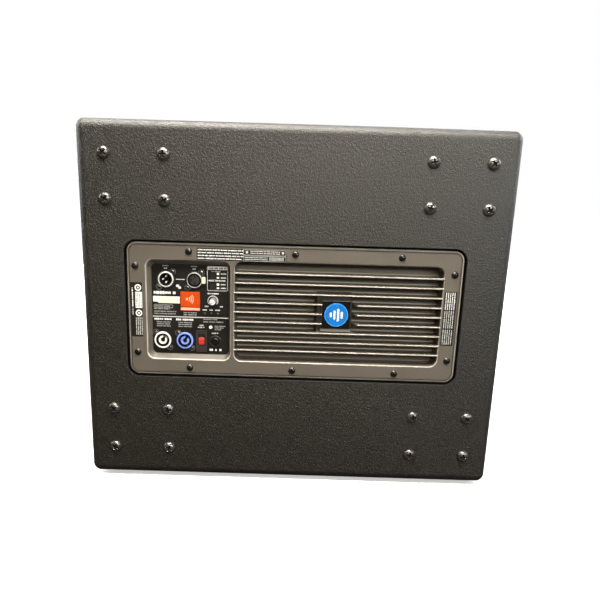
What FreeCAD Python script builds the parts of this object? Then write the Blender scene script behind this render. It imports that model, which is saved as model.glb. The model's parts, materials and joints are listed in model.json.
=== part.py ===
import FreeCAD, Part
import math
import os

# Powered bass cabinet with an 18 inch woofer and a plate amplifier. Millimetres, +Z up, the grille
# towards -Y and the amplifier towards +Y. The origin is under the middle of the whole object, level
# with the soles of its feet.
#
# Everything on the rear is placed as someone standing behind the cabinet sees it: u to their right
# (which is -X), v up from the middle of the rear face, and depth into the cabinet from that face.
# A negative depth stands proud. Woofer parts are placed by radius and by setback behind the front
# of the baffle.

# Cabinet
WIDTH = 597.0
HEIGHT = 508.0
DEPTH = 749.0
PANEL = 18.0
EDGE_RADIUS = 12.0
FOOT_HEIGHT = 5.0
FOOT_RADIUS = 20.0
FOOT_X = 230.0
FOOT_Y = 300.0
FOOT_SOLE_EDGE = 1.5
FOOT_WEB = 1.5
BAFFLE_RECESS = 34.0
FREE_HOLE = 0.1
PLATE_GAP = 0.3

MID_Z = FOOT_HEIGHT + HEIGHT / 2
TOP_Z = FOOT_HEIGHT + HEIGHT
INNER_WIDTH = WIDTH - 2 * PANEL
INNER_HEIGHT = HEIGHT - 2 * PANEL
# Caster plate fixings on the rear: four patterns of four M8 screws
CASTER_U = 220.5
CASTER_V = 180.4
CASTER_SPACING_U = 80.0
CASTER_SPACING_V = 60.0
M8_RADIUS = 4.0
M8_HEAD_RADIUS = 8.2
M8_HEAD_HEIGHT = 5.5
M8_HEAD_DOME = 4.2
M8_CROSS = 8.0
M8_LENGTH = 26.0
TEE_BARREL_RADIUS = 5.2
TEE_BARREL_LENGTH = 11.0
TEE_FLANGE_RADIUS = 11.0
TEE_FLANGE = 1.6

# The screw heads stand proud of the rear, so the cabinet sits that much forward of the middle
FRONT_Y = -(DEPTH + M8_HEAD_HEIGHT) / 2
REAR_Y = FRONT_Y + DEPTH
BAFFLE_Y = FRONT_Y + BAFFLE_RECESS

# M5 screws of the amplifier and the M5 wood screws of the fittings
M5_RADIUS = 2.4
M5_HEAD_RADIUS = 4.85
M5_CROSS = 5.0
AMP_HEAD_HEIGHT = 3.2
AMP_HEAD_DOME = 2.4
AMP_SCREW_LENGTH = 13.0
WOOD_HEAD_HEIGHT = 2.5
WOOD_HEAD_DOME = 1.6
WOOD_SCREW_LENGTH = 14.0
HEAD_RECESS_RADIUS = M5_HEAD_RADIUS + 0.5
HEAD_RECESS = 5.0

# A cross recess: how wide its slots and how deep it is, as shares of the cross and of the head
CROSS_SLOT_SHARE = 0.22
CROSS_DEPTH_SHARE = 0.55

# Amplifier casting
AMP_V = -1.5
FLANGE_WIDTH = 470.0
FLANGE_HEIGHT = 190.0
FLANGE_CORNER = 13.5
FLANGE_TOP = 3.0
FLANGE_THICKNESS = 5.0
FLANGE_BEVEL = 1.4
RIM_LINE_INSET = 2.8
RIM_LINE_WIDTH = 1.1
RIM_LINE_DEPTH = 0.9
GASKET = 1.0
FLANGE_BACK = FLANGE_TOP + FLANGE_THICKNESS
REBATE_DEPTH = FLANGE_BACK + GASKET
REBATE_WIDTH = 476.0
REBATE_HEIGHT = 195.5
REBATE_CORNER = 17.0
REBATE_EDGE = 1.2
CUTOUT_WIDTH = 433.0
CUTOUT_HEIGHT = 155.0
CUTOUT_CORNER = 8.0
BODY_WIDTH = 427.0
BODY_HEIGHT = 150.0
BODY_LEFT = -BODY_WIDTH / 2
BODY_RIGHT = BODY_WIDTH / 2
AMP_SCREW_U = (-148.5, 0.0, 148.5)
AMP_SCREW_V = 84.0
AMP_SIDE_SCREW_U = 223.5
AMP_SIDE_SCREW_V = 62.3

# Control pocket in the casting
CONTROL_LEFT = -209.5
CONTROL_RIGHT = -89.8
CONTROL_HALF_HEIGHT = 72.2
CONTROL_FLOOR = 12.5
CONTROL_FLOOR_LEFT = -203.3
CONTROL_FLOOR_RIGHT = -92.7
CONTROL_FLOOR_HALF_HEIGHT = 65.4
CONTROL_WALL = 4.0
POCKET_CORNER = 11.0
CONTROL_FLOOR_CORNER = 6.5
POCKET_LIP = 1.6
OVERLAY = 0.4
OVERLAY_GAP = 0.15
OVERLAY_TOP = CONTROL_FLOOR - OVERLAY
CONTROL_BACK = CONTROL_FLOOR + CONTROL_WALL

# Cooling fins
FIN_POCKET_LEFT = -84.8
FIN_POCKET_RIGHT = 209.5
FIN_FLOOR = 28.0
FIN_WALL = 4.0
FIN_DRAFT = 2.6
FIN_COUNT = 9
FIN_PITCH = 13.87
FIN_TIP_HALF = 1.15
FIN_ROOT_HALF = 1.35
FIN_ROOT_FLARE = 2.7
FIN_ROOT_FLARE_DEPTH = 1.6
FIN_TIP_DEPTH = FLANGE_TOP + 0.3
FIN_EMBED = 1.0
HEATSINK_BACK = FIN_FLOOR + FIN_WALL
SINK_OVERLAP = 3.0

# Badge boss between the fins
BADGE_U = 60.7
BADGE_V = -1.3
BOSS_TOP_HALF = 21.2
BOSS_BASE_HALF = 23.5
BOSS_TOP = 6.4
BOSS_FOOT_LEFT = 33.5
BOSS_FOOT_RIGHT = 82.0
BOSS_FOOT_LOW = -29.5
BOSS_FOOT_HIGH = 25.0
BOSS_FOOT_TOP = 9.0
BOSS_FOOT_SLOPE = 4.0
BADGE_SIDE = 39.6
BADGE_THICKNESS = 2.2
BADGE_RECESS = 0.8
BADGE_CORNER = 1.0
BADGE_EDGE = 0.5
DISC_RADIUS = 16.9
DISC_THICKNESS = 0.8
FIN_RUN_DOWN = 9.5
FIN_RUN_DOWN_DEPTH = 15.0

# Orange name badge in the control pocket
NAME_BADGE_U = -148.3
NAME_BADGE_V = 10.7
NAME_BADGE_WIDTH = 27.9
NAME_BADGE_HEIGHT = 27.4
NAME_BADGE_THICKNESS = 1.2

# Connectors: three-pole audio connectors and locking mains sockets with diagonal screw ears
XLR_OUT = (-182.6, 41.5)
XLR_IN = (-142.0, 41.3)
MAINS_OUT = (-188.4, -46.8)
MAINS_IN = (-156.4, -46.8)
EAR_OFFSET_U = 9.9
EAR_OFFSET_V = 10.9
EAR_RADIUS = 4.6
EAR_FLANGE_RADIUS = 12.6
EAR_THICKNESS = 1.5
EAR_RECESS_RADIUS = 3.4
EAR_RECESS = 0.9
EAR_EDGE = 0.35
CONNECTOR_SCREW_RADIUS = 1.5
CONNECTOR_HEAD_RADIUS = 2.45
CONNECTOR_HEAD_HEIGHT = 1.3
CONNECTOR_SCREW_LENGTH = 6.0
CONNECTOR_DOME = 0.9
CONNECTOR_CROSS = 3.2
XLR_RING_RADIUS = 11.1
XLR_CUP_RADIUS = 8.4
XLR_LIP = 0.6
XLR_IN_LIP = 0.4
XLR_TUBE_RADIUS = 10.6
XLR_FRONT = 9.5
XLR_IN_INNER_RADIUS = 9.5
XLR_PIN_RADIUS = 1.25
XLR_PIN_CIRCLE = 4.3
XLR_PIN_TIP = 11.0
XLR_PIN_ROUND = 0.8
XLR_CUP_FLOOR = 23.0
XLR_INSERT_RADIUS = 7.2
XLR_INSERT_FRONT = 11.0
XLR_SOCKET_RADIUS = 1.5
XLR_SOCKET_DEPTH = 10.0
MAINS_RADIUS = 12.1
MAINS_TUBE_RADIUS = 11.6
MAINS_INNER_RADIUS = 8.9
MAINS_FRONT = 8.8
MAINS_LIP = 0.7
MAINS_FLOOR = 34.0
MAINS_BACK = 38.0
MAINS_CORE_RADIUS = 6.1
MAINS_CORE_BORE = 3.3
MAINS_CORE_FRONT = 9.6
MAINS_SLOT_WIDTH = 3.4
MAINS_SLOT_ANGLE = 62.0
LATCH_U = -128.7
LATCH_V = 41.3
LATCH_WIDTH = 4.8
LATCH_HEIGHT = 9.2
LATCH_FRONT = 8.0
LATCH_BACK = 20.0
LATCH_CORNER = 1.2
LATCH_EDGE = 0.7
SLIDE_GAP = 0.3

# Controls
BOARD_FRONT = 26.0
BOARD_THICKNESS = 1.6
SWITCH_U = -116.0
SWITCH_V = (47.8, 34.1)
SWITCH_WIDTH = 8.8
SWITCH_HEIGHT = 9.8
SWITCH_BODY_WIDTH = 12.4
SWITCH_BODY_HEIGHT = 12.8
SWITCH_FRONT = 13.2
SWITCH_BUTTON_BACK = 21.5
SWITCH_TRAVEL = 2.5
KNOB_U = -115.1
KNOB_V = 12.8
KNOB_RADIUS = 4.7
KNOB_FRONT = -2.6
KNOB_BACK = 11.3
KNOB_BORE_END = 0.6
SHAFT_RADIUS = 3.0
SHAFT_CLEARANCE = 0.05
SHAFT_FRONT = 1.4
POT_RADIUS = 8.0
LED_U = (-127.8, -118.1, -109.0)
LED_V = -6.0
LED_RADIUS = 1.5
LED_FRONT = 11.0
SELECTOR_U = -132.7
SELECTOR_V = -47.3
SELECTOR_WIDTH = 15.8
SELECTOR_HEIGHT = 32.0
SELECTOR_FRONT = 11.0
SELECTOR_BACK = 30.0
SELECTOR_BODY_WIDTH = 12.4
SELECTOR_BODY_HEIGHT = 26.0
SLIDER_WIDTH = 8.6
SLIDER_HEIGHT = 12.2
SLIDER_V = -47.8
SLIDER_TRAVEL = 4.6
SLIDER_FRONT = 11.4
SLIDER_BACK = 15.0
SLIDER_NOTCH = (5.2, 1.6)
SLIDER_NOTCH_DEPTH = 1.2
BREAKER_U = -112.6
BREAKER_V = -47.6
BREAKER_RING_RADIUS = 9.0
BREAKER_BORE_RADIUS = 6.2
BREAKER_RING_FRONT = 10.2
BREAKER_BACK = 40.0
BREAKER_BUTTON_RADIUS = 5.8
BREAKER_BUTTON_FRONT = 8.4
BREAKER_BUTTON_BACK = 22.0
BREAKER_EDGE = 0.8
BREAKER_DOME = 1.6

# Amplifier electronics behind the casting
CHAMBER_WALL = 12.0
CHAMBER_WIDTH = 488.0
CHAMBER_HEIGHT = 210.0
CHAMBER_DEPTH = 127.0
STANDOFF_RADIUS = 4.0
POWER_BOARD_FRONT = 40.0
POWER_BOARD_U = 62.0
POWER_BOARD_WIDTH = 280.0
POWER_BOARD_HEIGHT = 136.0
STANDOFF_U = 130.0
STANDOFF_V = 58.0
TRANSFORMER_RADIUS = 45.0
TRANSFORMER_HOLE = 15.0
TRANSFORMER_HEIGHT = 38.0
TRANSFORMER_U = 135.0
CAPACITOR_RADIUS = 15.0
CAPACITOR_LENGTH = 50.0
CAPACITOR_V = 28.0
PART_PITCH = 40.0
TRANSISTORS_PER_ROW = 4
TRANSISTOR_V = 35.0
TRANSISTOR_SIZE = (16.0, 21.0)
INPUT_BOARD_MIDDLE = (-150.0, 23.0)
INPUT_BOARD_SIZE = (116.0, 88.0)
BOARD_CORNER = 2.0

# Woofer, measured as radius from its axis and setback behind the front of the baffle
WOOFER_RADIUS = 231.0
WOOFER_CUTOUT_RADIUS = 213.0
WOOFER_SCREW_CIRCLE = 222.0
WOOFER_SCREWS = 8
M6_RADIUS = 3.0
M6_HEAD_RADIUS = 5.0
M6_HEAD_HEIGHT = 4.0
BASKET_FLANGE = 8.0
BASKET_WINDOWS = 12
WINDOW_WIDTH = 46.0
WINDOW_START = 126.0
WINDOW_REACH = 66.0
WINDOW_SETBACK = 21.0
BASKET_OUTSIDE = [(WOOFER_RADIUS, -BASKET_FLANGE), (WOOFER_RADIUS, 0), (212, 0), (212, 20),
                  (120, 106), (120, 126), (60, 126)]
BASKET_INSIDE = [(60, 119), (104, 119), (104, 108), (112, 108), (206, 16), (206, -BASKET_FLANGE)]
CONE_RADIUS = 190.0
SURROUND_THICKNESS = 1.2
SURROUND_ROLL = 8.0
SURROUND_OUTER = 214.5
SURROUND_LAP = 6.5
SURROUND_GAP = 0.5
CONE_THICKNESS = 1.5
CONE_BEND = 183.0
CONE_NECK = 92.0
CONE_MIDDLE_FRONT = (111, 50)
CONE_MIDDLE_BACK = (112, 52)
CAP_SPHERE = 118.0
CAP_THICKNESS = 1.0
CAP_APEX = 56.0
CAP_RIM = 78.0
COIL_RADIUS = 51.0
FORMER_THICKNESS = 0.6
FORMER_FRONT = 88.0
WINDING_RADIUS = 52.2
WINDING_FRONT = 121.0
WINDING_BACK = 143.0
SPIDER_OUTER = 111.5
SPIDER_SETBACK = 106.5
SPIDER_FOLDS = 6
SPIDER_RIM = 5.0
SPIDER_WAVE = 0.75
SPIDER_THICKNESS = 1.2
SPIDER_GAP = 0.4
TOP_PLATE = [(53, 126), (95, 126), (95, 138), (53, 138)]
MAGNET = [(62, 138), (110, 138), (110, 160), (62, 160)]
YOKE = [(15, 128), (49, 128), (49, 160), (104, 160), (104, 168), (100, 172), (15, 172)]

# Grille
GRILLE_SETBACK = 3.0
GRILLE_SHEET = 1.5
GRILLE_GAP = 2.0
FOAM_THICKNESS = 5.0
BATTEN_WIDTH = 18.0
GRILLE_SCREWS_PER_SIDE = 5
GRILLE_SCREW_INSET = 30.0

# Reflex ports
PORT_X = 213.0
PORT_Z = 184.0
PORT_RADIUS = 40.0
PORT_WALL = 2.0
PORT_FLANGE_RADIUS = 47.0
PORT_FLANGE = 3.0
PORT_LENGTH = 200.0

# Side handles
HANDLE_Z = MID_Z + 20.0
HANDLE_LENGTH = 224.0
HANDLE_HEIGHT = 124.0
HANDLE_CORNER = 14.0
HANDLE_FLANGE = 3.0
CUP_LENGTH = 184.0
CUP_HEIGHT = 90.0
CUP_WALL = 3.0
CUP_DEPTH = 64.0
GRIP_RADIUS = 13.0
GRIP_SETBACK = 17.0
GRIP_LIFT = 10.0
HANDLE_SCREW_Y = 102.0
HANDLE_SCREW_Z = 52.0

# Pole socket in the top
POLE_BORE_RADIUS = 17.75
POLE_TUBE_RADIUS = 24.0
POLE_BORE_DEPTH = 80.0
POLE_THREAD_RADIUS = 8.75
POLE_SOCKET_DEPTH = 100.0
POLE_PLATE = 110.0
POLE_PLATE_THICKNESS = 4.0
POLE_PLATE_CORNER = 10.0
POLE_SCREW_OFFSET = 45.0

# Brace and internal cable
BRACE_Y = 150.0
BRACE_WINDOW_WIDTH = 430.0
BRACE_WINDOW_HEIGHT = 340.0
BRACE_CORNER = 40.0
CABLE_RADIUS = 4.0
CABLE_FIRST_BEND_Y = 60.0
CABLE_LAST_BEND_Y = -110.0
CABLE_BEND_SHARE = 0.45
CABLE_END_SETBACK = 124.0
CABLE_X = 66.0
CABLE_Z = MID_Z - 52.0
TERMINAL_X = 128.0
TERMINAL_SETBACK = 109.0
TERMINAL_HEIGHT = 34.0
LEVER_REACH = 4.0
LEVER_SPACING = 16.0
BASKET_RING_RADIUS = 120.0


def vec(x, y, z):
    return FreeCAD.Vector(x, y, z)


def save(name, *solids):
    """Write one node; several solids of the same kind make one group."""
    shape = solids[0] if len(solids) == 1 else Part.makeCompound(list(solids))
    shape.exportStep("parts/" + name + ".step")


def seen(u, v, depth=0.0):
    """Point on the rear as seen from behind, depth into the cabinet."""
    return vec(-u, REAR_Y - depth, MID_Z + v)


def rod(u, v, radius, front, back):
    """Round bar square to the rear face, between two depths."""
    return Part.makeCylinder(radius, back - front, seen(u, v, back), vec(0, 1, 0))


def tube(u, v, outer, inner, front, back):
    return rod(u, v, outer, front, back).cut(rod(u, v, inner, front - 1, back + 1))


def rounded_wire(u, v, width, height, corner, depth):
    """Rectangle with round corners, parallel to the rear face."""
    arcs = []
    for side_u, side_v, start in ((1, 1, 0), (-1, 1, 90), (-1, -1, 180), (1, -1, 270)):
        middle_u = u + side_u * (width / 2 - corner)
        middle_v = v + side_v * (height / 2 - corner)
        points = []
        for step in (0, 45, 90):
            angle = math.radians(start + step)
            point_u = middle_u + corner * math.cos(angle)
            points.append(seen(point_u, middle_v + corner * math.sin(angle), depth))
        arcs.append(points)
    edges = []
    for index, (first, middle, last) in enumerate(arcs):
        edges.append(Part.Arc(first, middle, last).toShape())
        edges.append(Part.makeLine(last, arcs[(index + 1) % 4][0]))
    return Part.Wire(edges)


def slab(u, v, width, height, front, back, corner=0.0):
    """Plate parallel to the rear face, between two depths."""
    if corner:
        face = Part.Face(rounded_wire(u, v, width, height, corner, front))
        return face.extrude(vec(0, front - back, 0))
    return Part.makeBox(width, back - front, height, seen(u + width / 2, v - height / 2, back))


def frustum(outer, inner):
    """Solid between two outlines, each given as (u, v, width, height, corner, depth)."""
    return Part.makeLoft([rounded_wire(*outer), rounded_wire(*inner)], True, True)


def edges_at_depth(shape, depth, half_u, half_v):
    """Edges lying in the plane at a depth, within a window about the middle of the amplifier."""
    level = REAR_Y - depth
    found = []
    for edge in shape.Edges:
        box = edge.BoundBox
        flat = abs(box.YMin - level) < 0.01 and abs(box.YMax - level) < 0.01
        inside = max(abs(box.XMin), abs(box.XMax)) < half_u
        near = max(abs(box.ZMin - MID_Z - AMP_V), abs(box.ZMax - MID_Z - AMP_V)) < half_v
        if flat and inside and near:
            found.append(edge)
    return found


def spin(points):
    """Ring about the woofer's axis; points are (radius, setback behind the front of the baffle)."""
    corners = [vec(radius, BAFFLE_Y + setback, MID_Z) for radius, setback in points]
    outline = Part.makePolygon(corners + corners[:1])
    return Part.Face(outline).revolve(vec(0, 0, MID_Z), vec(0, 1, 0), 360)


def disc(radius, front, back, x=0.0, z=0.0):
    """Round bar along Y placed from the woofer's axis, between two setbacks."""
    return Part.makeCylinder(radius, back - front, vec(x, BAFFLE_Y + front, MID_Z + z), vec(0, 1, 0))


def screw(tip_of_head, outward, head_radius, head_height, radius, length, dome=0.0, cross=0.0):
    """Screw whose head bears on a surface head_height below its tip; domed, with a cross recess."""
    out = vec(*outward)
    seat = tip_of_head - out * head_height
    head = Part.makeCylinder(head_radius, head_height, seat, out)
    if dome:
        ball_radius = (head_radius ** 2 + dome ** 2) / (2 * dome)
        ball = Part.makeSphere(ball_radius, tip_of_head - out * ball_radius)
        head = head.common(ball)
    if cross:
        width = cross * CROSS_SLOT_SHARE
        bottom = -head_height * CROSS_DEPTH_SHARE
        bar = Part.makeBox(cross, width, head_height, vec(-cross / 2, -width / 2, bottom))
        other = Part.makeBox(width, cross, head_height, vec(-width / 2, -cross / 2, bottom))
        tool = bar.fuse(other)
        tool.Placement = FreeCAD.Placement(tip_of_head, FreeCAD.Rotation(vec(0, 0, 1), out))
        head = head.cut(tool)
    shank = Part.makeCylinder(radius, length, seat - out * length, out)
    return head.fuse(shank)


def hole(seat, inward, radius, length):
    """Tool that drills a free hole from a surface point inwards."""
    start = seat - vec(*inward) * 1.0
    return Part.makeCylinder(radius + FREE_HOLE, length + 1.5, start, vec(*inward))


def wood_screw(seat, outward):
    out = vec(*outward)
    tip = seat + out * WOOD_HEAD_HEIGHT
    head = (M5_HEAD_RADIUS, WOOD_HEAD_HEIGHT)
    return screw(tip, outward, *head, M5_RADIUS, WOOD_SCREW_LENGTH, WOOD_HEAD_DOME, M5_CROSS)


def drill(shape, seats, outward):
    """Cut the free holes of wood screws whose heads bear at the given points."""
    inward = tuple(-part for part in outward)
    for seat in seats:
        shape = shape.cut(hole(seat, inward, M5_RADIUS, WOOD_SCREW_LENGTH))
    return shape


# Places that several pieces share

def caster_points():
    points = []
    for side_u in (-1, 1):
        for side_v in (-1, 1):
            for step_u in (-0.5, 0.5):
                for step_v in (-0.5, 0.5):
                    u = side_u * CASTER_U + step_u * CASTER_SPACING_U
                    v = side_v * CASTER_V + step_v * CASTER_SPACING_V
                    points.append((u, v))
    return points


def amp_screw_points():
    points = []
    for side_v in (-1, 1):
        for u in AMP_SCREW_U:
            points.append((u, AMP_V + side_v * AMP_SCREW_V))
        for side_u in (-1, 1):
            points.append((side_u * AMP_SIDE_SCREW_U, AMP_V + side_v * AMP_SIDE_SCREW_V))
    return points


def handle_seats(side):
    x = side * WIDTH / 2
    seats = []
    for y in (-HANDLE_SCREW_Y, HANDLE_SCREW_Y):
        for z in (-HANDLE_SCREW_Z, HANDLE_SCREW_Z):
            seats.append(vec(x - side * WOOD_HEAD_HEIGHT, y, HANDLE_Z + z))
    return seats


def pole_seats():
    z = TOP_Z - WOOD_HEAD_HEIGHT
    seats = []
    for x in (-POLE_SCREW_OFFSET, POLE_SCREW_OFFSET):
        for y in (-POLE_SCREW_OFFSET, POLE_SCREW_OFFSET):
            seats.append(vec(x, y, z))
    return seats


def foot_points():
    return [(x, y) for x in (-FOOT_X, FOOT_X) for y in (-FOOT_Y, FOOT_Y)]


def foot_seats():
    return [vec(x, y, FOOT_HEIGHT - FOOT_WEB) for x, y in foot_points()]


def grille_seats():
    x = INNER_WIDTH / 2 - BATTEN_WIDTH / 2
    pitch = (INNER_HEIGHT - 2 * GRILLE_SCREW_INSET) / (GRILLE_SCREWS_PER_SIDE - 1)
    seats = []
    for side in (-1, 1):
        for step in range(GRILLE_SCREWS_PER_SIDE):
            z = MID_Z + (step - (GRILLE_SCREWS_PER_SIDE - 1) / 2) * pitch
            seats.append(vec(side * x, FRONT_Y + GRILLE_SETBACK, z))
    return seats


def woofer_screw_points():
    points = []
    for step in range(WOOFER_SCREWS):
        angle = math.radians(360 / WOOFER_SCREWS * (step + 0.5))
        points.append((WOOFER_SCREW_CIRCLE * math.cos(angle), WOOFER_SCREW_CIRCLE * math.sin(angle)))
    return points


def ear_screw_points(centre, mirrored):
    """Two screws on a diagonal: lower left and upper right, or the other way when mirrored."""
    flip = -1 if mirrored else 1
    u, v = centre
    return [(u - EAR_OFFSET_U, v - flip * EAR_OFFSET_V), (u + EAR_OFFSET_U, v + flip * EAR_OFFSET_V)]


# Cabinet

def rounded_box():
    block = Part.makeBox(WIDTH, DEPTH, HEIGHT, vec(-WIDTH / 2, FRONT_Y, FOOT_HEIGHT))
    return block.makeFillet(EDGE_RADIUS, block.Edges)


def rear_panel(outside):
    panel = outside.common(slab(0, 0, WIDTH + 2, HEIGHT + 2, -1, PANEL))
    panel = panel.cut(slab(0, AMP_V, REBATE_WIDTH, REBATE_HEIGHT, -1, REBATE_DEPTH, REBATE_CORNER))
    rim = edges_at_depth(panel, 0, REBATE_WIDTH / 2 + 1, REBATE_HEIGHT / 2 + 1)
    panel = panel.makeFillet(REBATE_EDGE, rim)
    panel = panel.cut(slab(0, AMP_V, CUTOUT_WIDTH, CUTOUT_HEIGHT, 0, PANEL + 1, CUTOUT_CORNER))
    for u, v in caster_points():
        panel = panel.cut(rod(u, v, M8_RADIUS + 2 * FREE_HOLE, -1, PANEL + 1))
        panel = panel.cut(rod(u, v, TEE_BARREL_RADIUS + FREE_HOLE, PANEL - TEE_BARREL_LENGTH, PANEL + 1))
    for u, v in amp_screw_points():
        panel = panel.cut(rod(u, v, M5_RADIUS + FREE_HOLE, 0, PANEL + 1))
    save("rear_panel", panel)


def top_panel(outside):
    length = DEPTH - PANEL
    panel = outside.common(Part.makeBox(WIDTH, length, PANEL, vec(-WIDTH / 2, FRONT_Y, TOP_Z - PANEL)))
    plate = Part.makeBox(POLE_PLATE, POLE_PLATE, POLE_PLATE_THICKNESS + 1,
                         vec(-POLE_PLATE / 2, -POLE_PLATE / 2, TOP_Z - POLE_PLATE_THICKNESS))
    upright = [edge for edge in plate.Edges if edge.BoundBox.ZLength > POLE_PLATE_THICKNESS]
    panel = panel.cut(plate.makeFillet(POLE_PLATE_CORNER, upright))
    neck = Part.makeCylinder(POLE_TUBE_RADIUS + 1, PANEL + 2, vec(0, 0, TOP_Z - PANEL - 1))
    panel = panel.cut(neck)
    save("top_panel", drill(panel, pole_seats(), (0, 0, 1)))


def bottom_panel(outside):
    length = DEPTH - PANEL
    panel = outside.common(Part.makeBox(WIDTH, length, PANEL, vec(-WIDTH / 2, FRONT_Y, FOOT_HEIGHT)))
    save("bottom_panel", drill(panel, foot_seats(), (0, 0, -1)))


def side_panel(outside, name, side):
    """The side panel stands between the top and the bottom; side is +1 towards +X."""
    low = WIDTH / 2 - PANEL if side > 0 else -WIDTH / 2
    corner = vec(low, FRONT_Y, FOOT_HEIGHT + PANEL)
    panel = outside.common(Part.makeBox(PANEL, DEPTH - PANEL, INNER_HEIGHT, corner))
    panel = panel.cut(handle_block(side, HANDLE_LENGTH, HANDLE_HEIGHT, HANDLE_FLANGE, HANDLE_CORNER))
    panel = panel.cut(handle_block(side, CUP_LENGTH + 1, CUP_HEIGHT + 1, PANEL + 1, HANDLE_CORNER))
    save(name, drill(panel, handle_seats(side), (side, 0, 0)))


def front_baffle():
    corner = vec(-INNER_WIDTH / 2, BAFFLE_Y, FOOT_HEIGHT + PANEL)
    panel = Part.makeBox(INNER_WIDTH, PANEL, INNER_HEIGHT, corner)
    panel = panel.cut(disc(WOOFER_CUTOUT_RADIUS, -1, PANEL + 1))
    for x in (-PORT_X, PORT_X):
        for z in (-PORT_Z, PORT_Z):
            panel = panel.cut(disc(PORT_RADIUS + FREE_HOLE, -1, PANEL + 1, x, z))
    for x, z in woofer_screw_points():
        panel = panel.cut(disc(M6_RADIUS + FREE_HOLE, -1, PANEL + 1, x, z))
    save("front_baffle", panel)


def window_brace():
    corner = vec(-INNER_WIDTH / 2, BRACE_Y, FOOT_HEIGHT + PANEL)
    brace = Part.makeBox(INNER_WIDTH, PANEL, INNER_HEIGHT, corner)
    start = vec(-BRACE_WINDOW_WIDTH / 2, BRACE_Y - 1, MID_Z - BRACE_WINDOW_HEIGHT / 2)
    window = Part.makeBox(BRACE_WINDOW_WIDTH, PANEL + 2, BRACE_WINDOW_HEIGHT, start)
    along = [edge for edge in window.Edges if edge.BoundBox.YLength > PANEL]
    save("window_brace", brace.cut(window.makeFillet(BRACE_CORNER, along)))


def amp_chamber():
    """Airtight box behind the amplifier, open to the rear, with a hole for the speaker cable."""
    back = PANEL + CHAMBER_DEPTH
    outer = slab(0, AMP_V, CHAMBER_WIDTH, CHAMBER_HEIGHT, PANEL, back)
    inner_width = CHAMBER_WIDTH - 2 * CHAMBER_WALL
    inner_height = CHAMBER_HEIGHT - 2 * CHAMBER_WALL
    inner = slab(0, AMP_V, inner_width, inner_height, PANEL - 1, back - CHAMBER_WALL)
    gland = Part.makeCylinder(CABLE_RADIUS + FREE_HOLE, DEPTH / 2, vec(CABLE_X, 0, CABLE_Z), vec(0, 1, 0))
    save("amp_chamber", outer.cut(inner).cut(gland))


def caster_screws():
    screws = []
    nuts = []
    for u, v in caster_points():
        tip = seen(u, v, -M8_HEAD_HEIGHT)
        head = (M8_HEAD_RADIUS, M8_HEAD_HEIGHT)
        screws.append(screw(tip, (0, 1, 0), *head, M8_RADIUS, M8_LENGTH, M8_HEAD_DOME, M8_CROSS))
        barrel = rod(u, v, TEE_BARREL_RADIUS, PANEL - TEE_BARREL_LENGTH + 1, PANEL)
        flange = rod(u, v, TEE_FLANGE_RADIUS, PANEL, PANEL + TEE_FLANGE)
        bore = rod(u, v, M8_RADIUS + FREE_HOLE, 0, PANEL + 5)
        nuts.append(barrel.fuse(flange).cut(bore))
    save("caster_point_screws", *screws)
    save("caster_tee_nuts", *nuts)


def rubber_feet():
    feet = []
    for x, y in foot_points():
        foot = Part.makeCylinder(FOOT_RADIUS, FOOT_HEIGHT, vec(x, y, 0))
        sole = [edge for edge in foot.Edges if edge.BoundBox.ZMax < 0.01]
        foot = foot.makeFillet(FOOT_SOLE_EDGE, sole)
        foot = foot.cut(Part.makeCylinder(M5_HEAD_RADIUS + 1.0, FOOT_HEIGHT - FOOT_WEB, vec(x, y, 0)))
        foot = foot.cut(Part.makeCylinder(M5_RADIUS + FREE_HOLE, FOOT_HEIGHT + 1, vec(x, y, 0)))
        feet.append(foot)
    save("rubber_feet", *feet)


def fitting_screws():
    """Identical M5 wood screws hold the grille, the handles, the pole socket and the feet."""
    screws = []
    for seat in grille_seats():
        screws.append(wood_screw(seat, (0, -1, 0)))
    for side in (-1, 1):
        for seat in handle_seats(side):
            screws.append(wood_screw(seat, (side, 0, 0)))
    for seat in pole_seats():
        screws.append(wood_screw(seat, (0, 0, 1)))
    for seat in foot_seats():
        screws.append(wood_screw(seat, (0, 0, -1)))
    save("fitting_screws", *screws)


# Handles and pole socket

def handle_block(side, length, height, deep, corner):
    """Rounded block sunk into a side, standing 1 mm proud of its outer face."""
    low = WIDTH / 2 - deep if side > 0 else -WIDTH / 2 - 1
    block = Part.makeBox(deep + 1, length, height, vec(low, -length / 2, HANDLE_Z - height / 2))
    along = [edge for edge in block.Edges if edge.BoundBox.XLength > deep / 2]
    return block.makeFillet(corner, along)


def handle_cup(name, side):
    limit = Part.makeBox(WIDTH, DEPTH, HEIGHT, vec(-WIDTH / 2, FRONT_Y, FOOT_HEIGHT))
    length = HANDLE_LENGTH - 2 * PLATE_GAP
    flange = handle_block(side, length, HANDLE_HEIGHT - 2 * PLATE_GAP, HANDLE_FLANGE, HANDLE_CORNER)
    shell = handle_block(side, CUP_LENGTH, CUP_HEIGHT, CUP_DEPTH, HANDLE_CORNER)
    hollow_length = CUP_LENGTH - 2 * CUP_WALL
    hollow_height = CUP_HEIGHT - 2 * CUP_WALL
    inner_corner = HANDLE_CORNER - CUP_WALL
    hollow = handle_block(side, hollow_length, hollow_height, CUP_DEPTH - CUP_WALL, inner_corner)
    grip_x = side * (WIDTH / 2 - GRIP_SETBACK)
    grip_start = vec(grip_x, -CUP_LENGTH / 2 + CUP_WALL / 2, HANDLE_Z + GRIP_LIFT)
    grip = Part.makeCylinder(GRIP_RADIUS, CUP_LENGTH - CUP_WALL, grip_start, vec(0, 1, 0))
    cup = flange.fuse(shell).cut(hollow).fuse(grip).common(limit)
    for seat in handle_seats(side):
        cup = cup.cut(hole(seat, (-side, 0, 0), M5_RADIUS, WOOD_SCREW_LENGTH))
        cup = cup.cut(Part.makeCylinder(HEAD_RECESS_RADIUS, HEAD_RECESS, seat, vec(side, 0, 0)))
    save(name, cup.removeSplitter())


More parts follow.
